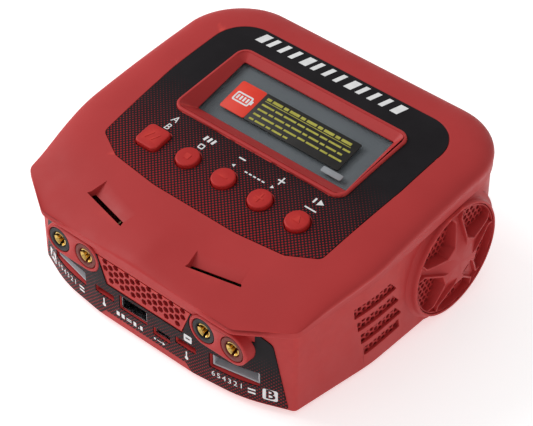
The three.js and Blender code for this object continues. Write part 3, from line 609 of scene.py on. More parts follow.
BAR_YELLOW = plastic("bar_yellow", (158, 154, 56), (146, 142, 50), (180, 176, 80), (0.4, 0.5))
FILM = plastic("clear_film", (150, 156, 160), (138, 144, 149), (180, 184, 188), (0.15, 0.25))
HEADER = plastic("header_white", (178, 180, 184), (166, 168, 173), (210, 211, 214), (0.3, 0.42))
GOLD = metal("gold_plate", (228, 196, 118), (206, 168, 88))
STEEL = metal("plated_steel", (196, 198, 202), (168, 171, 176))
ALUMINIUM = metal("extruded_aluminium", (178, 181, 185), (156, 160, 165), (0.3, 0.45), True)
GLASS = clear_glass("window_clear")
DISPLAY = display_glass("display_grey")
TOP_LABEL = printed_label("top_label_film", SHIFT_Y + 30, SHIFT_Y + 84, "y")
FRONT_LABEL = printed_label("front_label_film", SHIFT_Z - 4, SHIFT_Z + 30, "z")


# -------- upper case
def shoulder_rings(drop, shrink, turns):
    """The rings of the domed upper case from its upright edge to the flat top's rim."""
    rings = []
    edge, rim = inset(UPPER_EDGE, shrink), inset(UPPER_RIM, shrink * 0.5)
    for turn in turns:
        a = math.radians(turn)
        out = 0.0 if turn == 90 else math.cos(a) ** CROWN_SHARPNESS
        up = math.sin(a) ** CROWN_SHARPNESS
        ring = []
        for e, r in zip(edge, rim):
            q = r.lerp(e, out)
            sideways = (e - r).normalized()
            swell = SHOULDER_BULGE * smoothstep(e.y, 5, 42) * sideways.x ** 4 * math.sin(2 * a)
            q += sideways * swell
            low = parting_z(e.y) + LIP_BAND - drop
            high = surface_z(q.x, q.y) - drop
            ring.append(Vector((q.x, q.y, low + (high - low) * up)))
        rings.append(ring)
    return rings


def surface_z(x, y):
    """The top surface, with the soft ridge down the middle of the front slope."""
    ridge = RIDGE_HEIGHT - FRONT_RIDGE * math.hypot(x, 0.8)
    return top_z(y) + ridge * (1 - smoothstep(y, *RIDGE_FADE))


def top_rings(rim_ring, drop, keeps):
    middle_y = 62
    rings = []
    for keep in keeps:
        ring = []
        for p in rim_ring:
            x, y = p.x * keep, middle_y + (p.y - middle_y) * keep
            ring.append(Vector((x, y, surface_z(x, y) - drop)))
        rings.append(ring)
    return rings


def slab(low, high, y0=10, y1=125, step=2.5):
    """Everything between two copies of the top surface, for y0 to y1."""
    count = int((y1 - y0) / step)
    ys = [y0 + (y1 - y0) * k / count for k in range(count + 1)]
    outline = [Vector((y, top_z(y) + low)) for y in ys] + [Vector((y, top_z(y) + high)) for y in reversed(ys)]
    return prism(outline, -75, 75, "x")


def bezel(low, high):
    return soft_prism(rectangle(*BEZEL_SIZE, BEZEL_R, 10), low, high, top=0.6, steps=4)


def display_funnel():
    """The opening round the display: it widens from the window to the rim of the bezel."""
    window = rectangle(*LCD_SIZE, 0.6, 8)
    rim = rectangle(BEZEL_SIZE[0] - 2.6, BEZEL_SIZE[1] - 2.8, 3.6, 8)
    rings = [[ON_DISPLAY @ Vector((p.x, p.y, z)) for p in window] for z in (-12, 0)]
    rings += [[on_top(BEZEL_Y) @ Vector((p.x, p.y, z)) for p in rim] for z in (0.5, 9)]
    return loft(rings)


def at_button(index):
    return on_top(BUTTON_Y, (index - 2) * BUTTON_PITCH)


def button_hole(index, grow, low, high):
    if index == 0:
        outline = rectangle(SQUARE_CAP + 2 * grow, SQUARE_CAP + 2 * grow, SQUARE_CAP_R + grow, 8)
    else:
        outline = circle(ROUND_CAP_R + grow, steps=56)
    return moved(prism(outline, low, high), at_button(index))


def scoop(side):
    """A ramp that sinks forwards to a narrow slot under the front lip."""
    centre_x, centre_y = 27.2, 9.9
    profile = [(-1.3, 4), (-1.3, -14), (1.1, -14), (1.1, -2.2), (7.6, 0.0), (8.6, 4)]
    ends = [[Vector((half * (10.4 + 0.25 * (z + 2.0)), y, z)) for y, z in profile] for half in (-1, 1)]
    for ring in ends:
        ring[1].x = ring[2].x = math.copysign(10.2, ring[1].x)
    tool = loft(ends)
    fall = FRONT_RIDGE * (1 - smoothstep(centre_y, *RIDGE_FADE))
    turn = Matrix.Rotation(math.atan(fall), 4, "Y") @ Matrix.Rotation(math.radians(12.5), 4, "Z")
    seat = Matrix.Translation((0, 0, surface_z(centre_x, centre_y) - top_z(centre_y)))
    tool = moved(tool, seat @ on_top(centre_y, centre_x) @ turn)
    return tool if side > 0 else flipped(tool)


def upper_case():
    turns = [0, 4, 9, 15, 21, 27, 34, 41, 48, 55, 62, 69, 76, 83, 90]
    base = SEAM / 2
    skirt = []
    for shrink, rise in ((0.5, 0.0), (0.15, 0.12), (0.0, 0.5)):
        skirt.append([Vector((p.x, p.y, parting_z(p.y) + base + rise)) for p in inset(UPPER_EDGE, shrink)])
    rings = skirt + shoulder_rings(0, 0, turns)
    rings += top_rings(rings[-1], 0, [0.94, 0.86, 0.76, 0.64, 0.5, 0.34, 0.16])
    shell = loft(rings, fan=True)
    guide = loft(rings[2:], fan=True, ends=(False, True))
    under = [[Vector((p.x, p.y, 20)) for p in inset(UPPER_EDGE, WALL)]]
    under += shoulder_rings(WALL, WALL, [0, 20, 45, 70, 90])
    under += top_rings(under[-1], WALL, [0.7, 0.4, 0.1])
    cavity = keep_inside(loft(under, fan=True), prism(inset(LOWER_EDGE, WALL), 0, 90))
    cut(shell, cavity)
    join(shell, moved(bezel(-6, 0.7), on_top(BEZEL_Y)))
    under_display = moved(prism(rectangle(BEZEL_SIZE[0] - 3, 37), -20.2, -0.2), ON_DISPLAY)
    under_front = moved(prism(rectangle(BEZEL_SIZE[0] + 6, 26, y=-13), -20.2, -0.2), ON_DISPLAY)
    cut(shell, under_display, under_front, display_funnel())
    recess = keep_inside(prism(LABEL_EDGE, 20, 90), slab(-0.5, 6))
    cut(recess, moved(prism(rectangle(*BEZEL_SIZE, BEZEL_R, 10), -9, 9), on_top(BEZEL_Y)))
    cut(shell, recess)
    cut(shell, *[button_hole(i, 0.35, -6, 6) for i in range(5)])
    for x, y in POST_PLACES:
        post = prism(circle(POST_R, x, y), parting_z(y) - 2.6, parting_z(y) + 4.2)
        cut(post, prism(circle(1.5, x, y, 24), 20, parting_z(y) + 3.4))
        join(shell, post)
    soften(shell, 0.3, 50, 3, False)
    cut(shell, scoop(1), scoop(-1))
    return finish_piece(shell, "upper_shell", RED, replaces=["upper_case"], guide=guide)


def top_label():
    sheet = keep_inside(prism(inset(LABEL_EDGE, 0.22), 20, 90), slab(-0.42, -0.04))
    opening = rectangle(BEZEL_SIZE[0] + 0.4, BEZEL_SIZE[1] + 0.4, BEZEL_R + 0.2, 10)
    cut(sheet, moved(prism(opening, -9, 9), on_top(BEZEL_Y)))
    cut(sheet, *[button_hole(i, 0.75, -3, 3) for i in range(5)])
    return finish_piece(sheet, "top_label_sheet", TOP_LABEL, replaces=["top_label"])


# -------- lower case
def front_y(x):
    """The Y of the lower case's front wall at x."""
    front = sorted([p for p in LOWER_EDGE if p.y < 30], key=lambda p: p.x)
    for a, b in zip(front, front[1:]):
        if a.x <= x <= b.x:
            return a.y + (b.y - a.y) * (x - a.x) / max(b.x - a.x, 1e-6)
    return front[0].y


def stadium(half_length, radius, x, z):
    turns = [math.pi * (k / 16 - 0.5) for k in range(17)]
    return [Vector((x + end * (half_length + radius * math.cos(a)), z + end * radius * math.sin(a)))
            for end in (1, -1) for a in turns]


def boss_outline(side, grow=0.0):
    """The outline that holds a channel's two jacks."""
    return stadium((JACK_X[1] - JACK_X[0]) / 2, JACK_BOSS_R + grow, side * sum(JACK_X) / 2, JACK_Z)


def grille_outline(grow):
    low, high = GRILLE_Z[0] - grow, GRILLE_Z[1] + grow
    narrow, wide = (half + grow for half in GRILLE_HALF)
    return [Vector(p) for p in ((-narrow, low), (narrow, low), (wide, high), (-wide, high))]


def front_windows(grow=0.0):
    outlines = [grille_outline(grow)]
    for side in (-1, 1):
        outlines.append(rectangle(20.4 + 2 * grow, 6.5 + 2 * grow, 0.6, 4, side * BALANCE_X, BALANCE_Z))
        outlines.append(rectangle(9.6 + 2 * grow, 2.8 + 2 * grow, 0.3, 3, side * PROBE_X, PROBE_Z))
        outlines += [circle(5.55 + grow, side * x, JACK_Z) for x in JACK_X]
    for x, z, width, height in (USB_A, USB_MICRO):
        outlines.append(rectangle(width + 0.7 + 2 * grow, height + 0.7 + 2 * grow, 0.4, 3, x, z))
    return many_prisms(outlines, -6, 18, "y")


def fan_boss():
    """A ring that flares out of the side wall, drawn round the fan's axis."""
    flare = [(27.2 - 2.6 * math.sin(a), 69.9 + 2.6 * (1 - math.cos(a)))
             for a in [math.pi / 2 * k / 8 for k in range(9)]]
    lip = [(24.4, 72.9), (24.2, 73.25), (23.9, 73.4), (0, 73.4)]
    ring = lathe([(0, 62), (27.2, 62)] + flare + lip, "x", 128, 0, FAN_Y, FAN_Z)
    return cut(ring, block(50, 90, 50, 140, -20, -0.5))


def fan_bore():
    bore, seat, mouth = 21.9, 23.35, 23.6
    profile = [(0, 50), (bore, 50), (bore, 68.8), (seat, 68.8), (seat, 73.1), (mouth, 73.6), (mouth, 80),
               (0, 80)]
    return lathe(profile, "x", 128, 0, FAN_Y, FAN_Z)


def side_slots():
    """Louvres whose rear ends are cut on the slant."""
    slots = []
    for k in range(4):
        front, top = 38.3 + 1.9 * k, 34 - 7.4 * k
        height, length, slant = (5.0, 19.0, 4.0) if k < 3 else (4.3, 19.4, 0.8)
        corners = [(front + 0.5, top - height), (front + length + slant, top - height + 0.7),
                   (front + length, top + 0.7), (front, top)]
        slots.append(prism(rounded([(y, z, 0.45, 3) for y, z in corners]), 62, 78, "x"))
    return slots


SCREEN_DEPTH, SCREEN_THICKNESS = 1.25, 0.8


def screen_pocket():
    """The wall is thinned behind the louvres, and the honeycomb sheet sits in the pocket."""
    return keep_inside(prism(inset(LOWER_EDGE, SCREEN_DEPTH - 0.05), 5, 36.8), block(50, 75, 37.2, 65.6, 4, 38))


def lower_case():
    rings = []
    for shrink, z in ((0.9, 0.0), (0.35, 0.2), (0.08, 0.6), (0.0, 1.2)):
        rings.append([Vector((p.x, p.y, z)) for p in inset(LOWER_EDGE, shrink)])
    rings.append([Vector((p.x, p.y, parting_z(p.y) - SEAM / 2 - 0.4)) for p in LOWER_EDGE])
    guide = loft(rings[-2:], ends=(False, False))
    rings.append([Vector((p.x, p.y, parting_z(p.y) - SEAM / 2)) for p in inset(LOWER_EDGE, 0.35)])
    tub = loft(rings)
    join(tub, fan_boss(), flipped(fan_boss()))
    above = [Vector((y, parting_z(y) - SEAM / 2)) for y in (-20, 160)] + [Vector((160, 90)), Vector((-20, 90))]
    cut(tub, prism(above, -90, 90, "x"))
    cut(tub, prism(inset(LOWER_EDGE, WALL), WALL, 90))
    for side in (-1, 1):
        boss = soft_prism(boss_outline(side), -12, 0, top=0.7, steps=4)
        join(tub, moved(boss, Matrix.Rotation(math.pi / 2, 4, "X")))
    cut(tub, front_windows(), fan_bore(), flipped(fan_bore()))
    cut(tub, screen_pocket(), flipped(screen_pocket()))
    for slot, other in zip(side_slots(), side_slots()):
        cut(tub, slot, flipped(other))
    for x, y in POST_PLACES:
        height = parting_z(y) - 3
        join(tub, prism(circle(POST_R, x, y), 1, height))
        cut(tub, prism(circle(3.2, x, y), -1, height - 3), prism(circle(1.8, x, y, 24), 0, 90))
    for x, y in FOOT_PLACES:
        cut(tub, prism(circle(6.3, x, y), -1, 0.8))
    for x, z, width, height in (MAINS_INLET, DC_INLET):
        half, tall = width / 2 + 0.3, height / 2 + 0.3
        cut(tub, block(x - half, x + half, 123, 136, z - tall, z + tall))
    soften(tub, 0.25, 50, 2, False)
    return finish_piece(tub, "lower_shell", RED, replaces=["lower_case"], guide=guide)


def front_label():
    skin = prism(inset(LOWER_EDGE, -0.45), 0, 60)
    cut(skin, prism(inset(LOWER_EDGE, -0.06), -1, 61))
    corners = [(20.9, 4.4), (23.6, 1.4), (62.6, 1.4), (57.2, 31.5), (50, 36.6)]
    half = [(x, z, 4.0 if z == 31.5 else 0.5, 4) for x, z in corners]
    face = rounded(half + [(-x, z, r, n) for x, z, r, n in reversed(half)])
    label = keep_inside(prism(face, -3, 20, "y"), skin)
    cut(label, block(-51, 51, -6, 20, 30.9, 60))
    cut(label, front_windows(0.25))
    for side in (-1, 1):
        cut(label, prism(boss_outline(side, 0.25), -6, 20, "y"))
    return finish_piece(label, "front_label_sheet", FRONT_LABEL, replaces=["front_label"])


def front_grille():
    middle = sum(GRILLE_Z) / 2
    flare = (GRILLE_HALF[1] - GRILLE_HALF[0]) / (GRILLE_Z[1] - GRILLE_Z[0])

    def inside(u, v):
        half = sum(GRILLE_HALF) / 2 + flare * v
        return -4.65 < v < 4.95 and abs(u) < half - 1.6

    plate = prism(grille_outline(-0.3), 0.5, 2.2, "y")
    holes = [circle(1.42, u, v + middle, 6) for u, v in honeycomb(3.27, inside, 30)]
    cut(plate, many_prisms(holes, -3, 6, "y"))
    return finish_piece(plate, "front_honeycomb", RED, replaces=["front_grille"])


CELL_PITCH, CELL_RADIUS = 2.65, 1.06
SLOTS_Y, SLOTS_Z = 51.4, 21


def side_screen(side, name):
    plate = prism(inset(LOWER_EDGE, SCREEN_DEPTH), 5.4, 36.4)
    cut(plate, prism(inset(LOWER_EDGE, SCREEN_DEPTH + SCREEN_THICKNESS), 0, 60))
    keep_inside(plate, block(50, 75, 37.6, 65.3, 5.3, 36.5))
    centres = honeycomb(CELL_PITCH, lambda u, v: abs(u) < 13.6 and abs(v) < 14.2, 22)
    cells = [circle(CELL_RADIUS, u + SLOTS_Y, v + SLOTS_Z, 6) for u, v in centres]
    cut(plate, many_prisms(cells, 60, 73, "x"))
    if side < 0:
        flipped(plate)
    return finish_piece(plate, f"side_honeycomb_{name}", RED, replaces=[f"side_screen_{name}"])


# -------- fan guard
GUARD_BACK, GUARD_RIM, GUARD_FACE, GUARD_RADIUS = 69.1, 73.0, 75.4, 23.1
GUARD_ARMS = 5
FIRST_ARM = math.radians(91.5)
ARM_STEP = 2 * math.pi / GUARD_ARMS
NOTCHED_ARM = 3


def guard_window(index):
    """One opening between two arms: a blunt inner end, tapering sides and flared corners at the rim."""
    middle = FIRST_ARM + ARM_STEP * (index + 0.5)
    half = [(10.4, 14, 0.7, 4), (19.9, 30.2, 1.6, 4), (22.5, 26, 0.3, 2), (22.6, 17, 8, 3), (22.6, 8, 8, 3)]
    around = [(r, -turn, radius, steps) for r, turn, radius, steps in half] + half[::-1]
    corners = []
    for r, turn, radius, steps in around:
        a = middle + math.radians(turn)
        corners.append((r * math.cos(a), r * math.sin(a), radius, steps))
    return rounded(corners)


def guard_channel(index):
    """The sunk channel along an arm: it ramps down from the hub and leaves a ridge on both sides."""
    half = [(6.2, 3.0), (10.0, 3.05), (19.8, 1.25), (22.4, 3.2)]
    outline = [Vector((a, -b)) for a, b in half] + [Vector((a, b)) for a, b in reversed(half)]
    floor = [(75.6, 6.2), (73.3, 11.0), (71.4, 22.5), (80, 22.5), (80, 6.2)]
    tool = keep_inside(prism(outline, 60, 80, "x"), prism([Vector(p) for p in floor], -5, 5))
    return moved(tool, Matrix.Rotation(FIRST_ARM + ARM_STEP * index, 4, "X"))


def guard(side, name):
    """A domed five-armed star with a honeycomb sheet behind it."""
    profile = [(0, GUARD_BACK), (GUARD_RADIUS, GUARD_BACK), (GUARD_RADIUS, GUARD_RIM - 0.4),
               (GUARD_RADIUS - 0.15, GUARD_RIM - 0.1), (GUARD_RADIUS - 0.5, GUARD_RIM), (16, 74.35),
               (9.5, GUARD_FACE), (0, GUARD_FACE)]
    star = lathe(profile, "x", 120)
    for index in range(GUARD_ARMS):
        cut(star, prism(guard_window(index), 60, 80, "x"), guard_channel(index))
    notch = block(60, 80, 7.4, 12.4, -1.7, 1.7)
    cut(star, moved(notch, Matrix.Rotation(FIRST_ARM + ARM_STEP * NOTCHED_ARM, 4, "X")))
    soften(star, 0.2, 40, 2, False)
    sheet = prism(circle(GUARD_RADIUS - 0.2, steps=96), GUARD_BACK + 0.1, GUARD_BACK + 1.0, "x")
    centres = honeycomb(CELL_PITCH, lambda u, v: math.hypot(u, v) < 21.6, 26)
    cut(sheet, many_prisms([circle(CELL_RADIUS, v, u, 6, math.pi / 6) for u, v in centres], 60, 80, "x"))
    join(star, sheet)
    moved(star, Matrix.Translation((0, FAN_Y, FAN_Z)))
    if side < 0:
        flipped(star)
    return finish_piece(star, f"fan_star_{name}", RED, replaces=[f"fan_guard_{name}"], sharp=28)


# -------- controls and display
CAP_HEIGHT, MARK_HEIGHT = 1.4, 0.14


def bar(x, y, width, height, turn=0.0):
    spin = Matrix.Rotation(math.radians(turn), 2)
    return [spin @ p + Vector((x, y)) for p in rectangle(width, height)]


def triangle(x, y, size, turn=0.0):
    return circle(size, x, y, 3, math.radians(turn))


BUTTON_MARKS = {
    "channel": [bar(-1.5, 0, 0.5, 4.2, -25), bar(1.5, 0, 0.5, 4.2, -25)],
    "stop": [rectangle(2.6, 2.6, 0.3, 2)],
    "decrease": [bar(0, 0, 3.6, 0.6)],
    "increase": [bar(0, 0, 3.6, 0.6), bar(0, 1.35, 0.6, 1.9), bar(0, -1.35, 0.6, 1.9)],
    "start": [triangle(0, 0, 2.0, 90)],
}


def button(index):
    name = BUTTON_NAMES[index]
    if index == 0:
        outline = rectangle(SQUARE_CAP, SQUARE_CAP, SQUARE_CAP_R, 10)
        flange = rectangle(SQUARE_CAP + 2, SQUARE_CAP + 2, 2, 6)
    else:
        outline = circle(ROUND_CAP_R, steps=72)
        flange = circle(6.2, steps=48)
    cap = soft_prism(outline, -3.4, CAP_HEIGHT, top=0.6, steps=5)
    join(cap, prism(flange, -4, -2.9), prism(circle(1.7, steps=24), -5.4, -3.5))
    for outline in BUTTON_MARKS[name]:
        join(cap, prism(outline, 1.0, CAP_HEIGHT + MARK_HEIGHT))
    moved(cap, at_button(index))
    return finish_piece(cap, f"key_{name}", RED_BUTTON, body=f"button_{name}",
                        replaces=[f"button_{name}"])


def sticker():
    """A two-part film on the window: an orange tile, a dark sheet with lines, and a clear pull tab."""
    low, top, middle, height = -0.25, 0.05, -0.9, 14.8

    def film(outline):
        return moved(soft_prism(outline, low, top, top=0.08, steps=2), ON_DISPLAY)

    tile = film(rectangle(12.6, height, 0.9, 5, -25.3, middle))
    finish_piece(tile, "sticker_tile", ORANGE, replaces=["display_sticker"])
    finish_piece(film(rectangle(47.4, height, 0.6, 4, 4.7, middle)), "sticker_sheet", TILE_DARK)
    finish_piece(film(rectangle(9.6, 2.6, 0.6, 4, 27.4, -10.4)), "sticker_tab", FILM)
    words = []
    for row in range(5):
        tall = 1.25 if row == 0 else 0.85
        y = 4.2 - 2.6 * row - (0.6 if row else 0)
        x, word = -17.2, 0
        while x < (25.0 if row < 4 else 2.0):
            length = 2.2 + 1.3 * ((3 * row + 2 * word) % 4)
            words.append(bar(x + length / 2, y, length, tall))
            x += length + 0.8
            word += 1
    words.append(bar(4.2, 2.9, 42.8, 0.3))
    lines = moved(many_prisms(words, top, top + 0.04), ON_DISPLAY)
    finish_piece(lines, "sticker_lines", BAR_YELLOW)
    cell = prism(rectangle(8.2, 4.8, 0.8, 5, -25.6, middle), top, top + 0.05)
    cut(cell, prism(rectangle(6.8, 3.4, 0.4, 3, -25.6, middle), -1, 1))
    join(cell, prism(rectangle(1.2, 2.0, 0.2, 3, -21.2, middle), top, top + 0.05))
    finish_piece(moved(cell, ON_DISPLAY), "sticker_cell", PRINT)
    fill = many_prisms([bar(-28 + 1.6 * k, middle, 0.9, 2.2) for k in range(4)], top, top + 0.05)
    finish_piece(moved(fill, ON_DISPLAY), "sticker_cell_fill", PRINT)


# -------- printed marks
def letters(text, size, x, y, slant=0.0, weight=0.0):
    """Outlines of plain characters as a flat mesh piece standing on z = 0, 1 mm thick."""
    curve = bpy.data.curves.new("letters", "FONT")
    curve.body = text
    curve.size = size
    curve.align_x = "CENTER"
    curve.align_y = "CENTER"
    curve.shear = slant
    curve.offset = weight
    curve.extrude = 0.5
    curve.resolution_u = 3
    holder = new_object("letters", curve)
    graph = bpy.context.evaluated_depsgraph_get()
    mesh = bpy.data.meshes.new_from_object(holder.evaluated_get(graph))
    bpy.data.objects.remove(holder)
    return moved(new_object("letters", weld(mesh, 1e-4)), Matrix.Translation((x, y, 0.5)))


def merge(pieces):
    """Several pieces as one object, without a boolean."""
    first = pieces[0]
    work = bmesh.new()
    for piece in pieces:
        work.from_mesh(piece.data)
    work.to_mesh(first.data)
    work.free()
    for piece in pieces[1:]:
        bpy.data.objects.remove(piece)
    return first


def drape(piece, surface, thickness=0.05):
    """Lays a flat piece on a surface: its z becomes the height above surface(x, y)."""
    for vertex in piece.data.vertices:
        height = thickness if vertex.co.z > 0.5 else 0.0
        vertex.co = surface(vertex.co.x, vertex.co.y, height)
    return piece


def on_label(x, y, height):
    return Vector((x, y, top_z(y) - 0.05 + height))


def on_front(x, z, height):
    return Vector((x, front_y(x) - 0.44 - height, z))


def printed(name, outlines, signs, surface):
    """One printed piece: flat outlines and flat signs, laid on a surface."""
    flat = [many_prisms(outlines, 0, 1)] + signs
    finish_piece(merge([drape(shape, surface) for shape in flat]), name, PRINT)


def hollow_box(x, y, width, height, stroke):
    ring = prism(rectangle(width, height, height * 0.22, 4, x, y), 0, 1)
    inner = rectangle(width - 2 * stroke, height - 2 * stroke, height * 0.1, 3, x, y)
    return cut(ring, prism(inner, -1, 2))


def top_prints():
    """Generic marks in place of the printed words: battery cells, bars and arrows."""
    upper, lower = BUTTON_Y + 11.6, BUTTON_Y + 7.4
    outlines = [bar(-19.6 + 2.0 * k, upper, 1.1, 2.4, -10) for k in range(3)]
    outlines += [bar(-1.0, upper, 3.2, 0.6), triangle(-1.6, lower, 0.9, 180)]
    outlines += [bar(4.6 + 2.1 * k, lower, 1.3, 0.6) for k in range(5)]
    outlines += [triangle(17.4, lower, 0.9), bar(18.4, upper, 3.2, 0.6)]
    outlines += [bar(18.4, upper + end * 1.1, 0.6, 1.6) for end in (-1, 1)]
    outlines += [triangle(37.2, upper, 1.7), bar(34.6, upper, 0.8, 2.4), bar(36, lower, 5.4, 0.6)]
    rear, height, lean, start, pitch, stripes = 109.2, 5.5, 1.6, -42.5, 5.7, 13
    for k in range(stripes):
        x = start + pitch * k
        wide = 3.6 if k % 4 == 0 else 2.2
        stripe = [(x, rear), (x + wide, rear), (x + wide + lean, rear + height), (x + lean, rear + height)]
        outlines.append([Vector(p) for p in stripe])
    signs = [hollow_box(-18.1, lower, 2.6, 2.4, 0.5)]
    signs += [letters("A", 4.4, -36.0, upper + 0.4, 0.15), letters("B", 4.4, -36.0, lower + 0.2, 0.15)]
    printed("top_prints", outlines, signs, on_label)


def front_prints():
    """Digits under the balance sockets, the two channel letters and generic signs."""
    outlines, signs = [], []
    for side, letter in ((-1, "A"), (1, "B")):
        centre, corner, stem = side * BALANCE_X, side * 56.4, side * 21.4
        signs += [letters(str(6 - k), 3.5, centre - 8.6 + 2.4 * k, 6.6) for k in range(6)]
        cutter = letters(letter, 6.4, corner, 6.4, 0.0, 0.16)
        moved(cutter, Matrix.Translation((0, 0, -0.8)) @ Matrix.Diagonal((1, 1, 2.6, 1)))
        signs.append(cut(prism(rectangle(5.4, 5.4, 0.8, 4, corner, 6.4), 0, 1), cutter))
        outlines += [bar(centre + 7.4, y, 2.9, 0.8) for y in (6.8, 5.1)]
        outlines += [circle(0.85, stem, 7.2, 16), bar(stem, 9.2, 0.6, 2.6)]
    sign = prism(rectangle(3.8, 3.4, 0.5, 4, 22.3, 17.6), 0, 1)
    signs.append(cut(sign, prism(bar(22.3, 17.6, 2.0, 0.7), -1, 2)))
    port_bars = [(-14.0, 7.2, 1.6, 2.0), (-11.4, 7.2, 1.6, 2.0), (-8.3, 7.5, 2.6, 0.4), (-8.3, 6.7, 2.6, 0.4),
                 (-5.2, 7.2, 1.4, 2.0), (-3.2, 6.4, 0.5, 0.5), (-1.8, 7.2, 1.2, 2.0)]
    outlines += [bar(*place) for place in port_bars]
    outlines += [triangle(9.6, 6.6, 0.9), bar(7.6, 6.6, 2.4, 0.35), circle(0.5, 5.2, 6.6, 12)]
    printed("front_prints", outlines, signs, on_front)


# -------- jacks
def jack(channel, pole, x):
    barrel = lathe([(0, 21), (3.1, 21), (3.1, 0.9), (3.0, 0.6), (2.8, 0.45), (2.6, 0.5), (2.2, 1.1),
                    (1.9, 1.8), (1.9, 14), (0, 14)], "y", 56)
    for turn in (55, 175, 295):
        slit = block(-0.6, 0.6, -4, 9.5, 0.6, 8)
        cut(barrel, moved(slit, Matrix.Rotation(math.radians(turn), 4, "Y")))
    seat = Matrix.Translation((x, 0, JACK_Z))
    finish_piece(moved(barrel, seat), f"sleeve_{channel}_{pole}", GOLD,
                 replaces=[f"jack_{channel}_{pole}"])
    ring = lathe([(3.3, 15), (5.3, 15), (5.3, 0.5), (5.05, 0.2), (3.8, 0.15), (3.45, 0.4), (3.3, 0.8)], "y", 64)
    paint, slot = (BLACK, "black_plastic") if pole == "negative" else (RING_RED, "ring_red")
    finish_piece(moved(ring, seat), f"collar_{channel}_{pole}", paint,
                 replaces=[f"jack_ring_{channel}_{pole}"])


def balance_socket(channel, side):
    """A keyed white header that follows the slant of the front wall."""
    width, height, depth, rim, pin, pin_pitch = 19.8, 6.0, 9.0, 0.75, 0.64, 2.5
    body = block(-width / 2, width / 2, 0, depth, -height / 2, height / 2)
    cut(body, block(rim - width / 2, width / 2 - rim, -1, depth - 1.2, rim - height / 2, height / 2 - rim))
    for k in range(5):
        x = -6.4 + 3.2 * k
        cut(body, block(x - 0.8, x + 0.8, -1, 2.6, height / 2 - 1.2, height / 2 + 1))
    soften(body, 0.12, 50, 2, False)
    comb = [rectangle(pin, pin, x=pin_pitch * k, y=-0.2) for k in range(-3, 4)]
    pins = many_prisms(comb, 2.4, depth - 0.6, "y")
    seat = Matrix.Translation((side * BALANCE_X, front_y(BALANCE_X) + 1.5, BALANCE_Z))
    seat = seat @ Matrix.Rotation(side * math.radians(11.6), 4, "Z")
    finish_piece(moved(body, seat), f"header_{channel}", HEADER,
                 replaces=[f"balance_socket_{channel}"])
    finish_piece(moved(pins, seat), f"header_pins_{channel}", STEEL,
                 replaces=[f"balance_pins_{channel}"])


# -------- CAD nodes that stay
def repaint(material, names, bevel=0.0):
    for name in names:
        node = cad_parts[name]
        node.data.materials.clear()
        node.data.materials.append(material)
        if bevel:
            modifier = node.modifiers.new("edges", "BEVEL")
            modifier.width = bevel * MM
            modifier.segments = 2
            modifier.limit_method = "ANGLE"
            modifier.angle_limit = math.radians(40)
            modifier.harden_normals = False


def both(pattern):
    return [pattern.format(side) for side in ("right", "left")]


repaint(GLASS, ["display_window"])
repaint(DISPLAY, ["display_panel"])
repaint(BOARD, ["button_board", "main_board", "power_board"])
repaint(BLACK, [f"switch_{name}" for name in BUTTON_NAMES], 0.15)
repaint(STEEL, ["usb_shell", "micro_usb_shell", "ac_inlet_pins"], 0.08)
repaint(BLACK, ["probe_socket_a", "probe_socket_b", "usb_tongue"], 0.1)
repaint(BLACK, both("fan_frame_{}") + both("fan_impeller_{}"), 0.2)
repaint(BLACK, ["ac_inlet", "bulk_capacitor"], 0.3)
repaint(YELLOW, ["dc_input"], 0.2)
repaint(FERRITE, ["transformer"], 0.4)
repaint(ALUMINIUM, ["heat_sink"], 0.15)
PLACES = [f"{y}_{x}" for y in ("front", "rear") for x in ("left", "right")]
repaint(RUBBER, [f"foot_{place}" for place in PLACES], 0.4)
repaint(STEEL, [f"case_screw_{place}" for place in PLACES], 0.15)

upper_case()
top_label()
lower_case()
front_label()
front_grille()
for side, name in ((1, "right"), (-1, "left")):
    side_screen(side, name)
    guard(side, name)
for index in range(5):
    button(index)
sticker()
top_prints()
front_prints()
for channel, side in (("a", -1), ("b", 1)):
    for pole, x in zip(("negative", "positive"), JACK_X[::side]):
        jack(channel, pole, side * x)
    balance_socket(channel, side)


# -------- studio
WORLD_LIGHT, KEY_LIGHT, FILL_LIGHT = 0.53, 10.0, 0.5


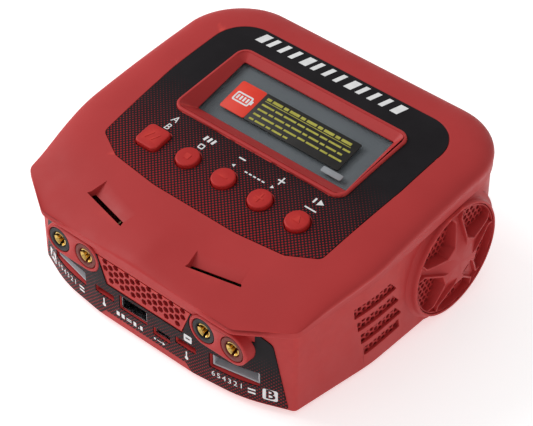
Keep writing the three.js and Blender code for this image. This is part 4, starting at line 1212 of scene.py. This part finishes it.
def floor():
    size = 8.0
    mesh = bpy.data.meshes.new("studio_floor")
    mesh.from_pydata([p.to_3d() for p in rectangle(size, size)], [], [(0, 1, 2, 3)])
    ground = new_object("studio_floor", mesh)
    p = Paint("studio_floor", roughness=0.6, specular=0.25)
    p.colour(p.mix(p.cloud(3, 2), (0.92, 0.92, 0.92, 1), (0.9, 0.9, 0.9, 1)))
    p.shader.inputs["Emission Color"].default_value = (1, 1, 1, 1)
    p.shader.inputs["Emission Strength"].default_value = 0.5
    mesh.materials.append(p.material)
    ground.location.z = min(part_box(f"foot_{place}")[0][2] for place in PLACES) - 0.00005


def area_light(name, place, target, size, power):
    data = bpy.data.lights.new(name, "AREA")
    data.shape = "RECTANGLE"
    data.size, data.size_y = size
    data.energy = power
    lamp = new_object(name, data)
    lamp.location = place
    lamp.rotation_euler = (Vector(target) - Vector(place)).to_track_quat("-Z", "Y").to_euler()


def studio():
    world = bpy.data.worlds.new("studio")
    bpy.context.scene.world = world
    world.use_nodes = True
    sky = world.node_tree.nodes["Background"]
    sky.inputs["Color"].default_value = (1, 1, 1, 1)
    sky.inputs["Strength"].default_value = WORLD_LIGHT
    middle = (0, 0, 0.03)
    area_light("key_left", (-1.0, -0.3, 0.72), middle, (0.7, 0.7), KEY_LIGHT)
    area_light("fill_right", (0.8, -0.6, 0.7), middle, (0.8, 0.8), FILL_LIGHT)


# The view's angles in degrees, the camera's place in case coordinates, and its lens.
VIEW_AZIMUTH, VIEW_ELEVATION = 41.67, 41.11
VIEW_EYE = (382.01, -360.87, 522.38)
LENS = 132.84


def camera():
    data = bpy.data.cameras.new("camera")
    data.lens = LENS
    data.sensor_width = 36
    data.clip_start = 0.01
    holder = new_object("camera", data)
    holder.location = CASE_TO_ROW @ Vector(VIEW_EYE)
    holder.rotation_euler = (math.radians(90 - VIEW_ELEVATION), 0, math.radians(VIEW_AZIMUTH))
    bpy.context.scene.camera = holder


floor()
studio()
camera()
bpy.context.scene.view_settings.view_transform = "Standard"
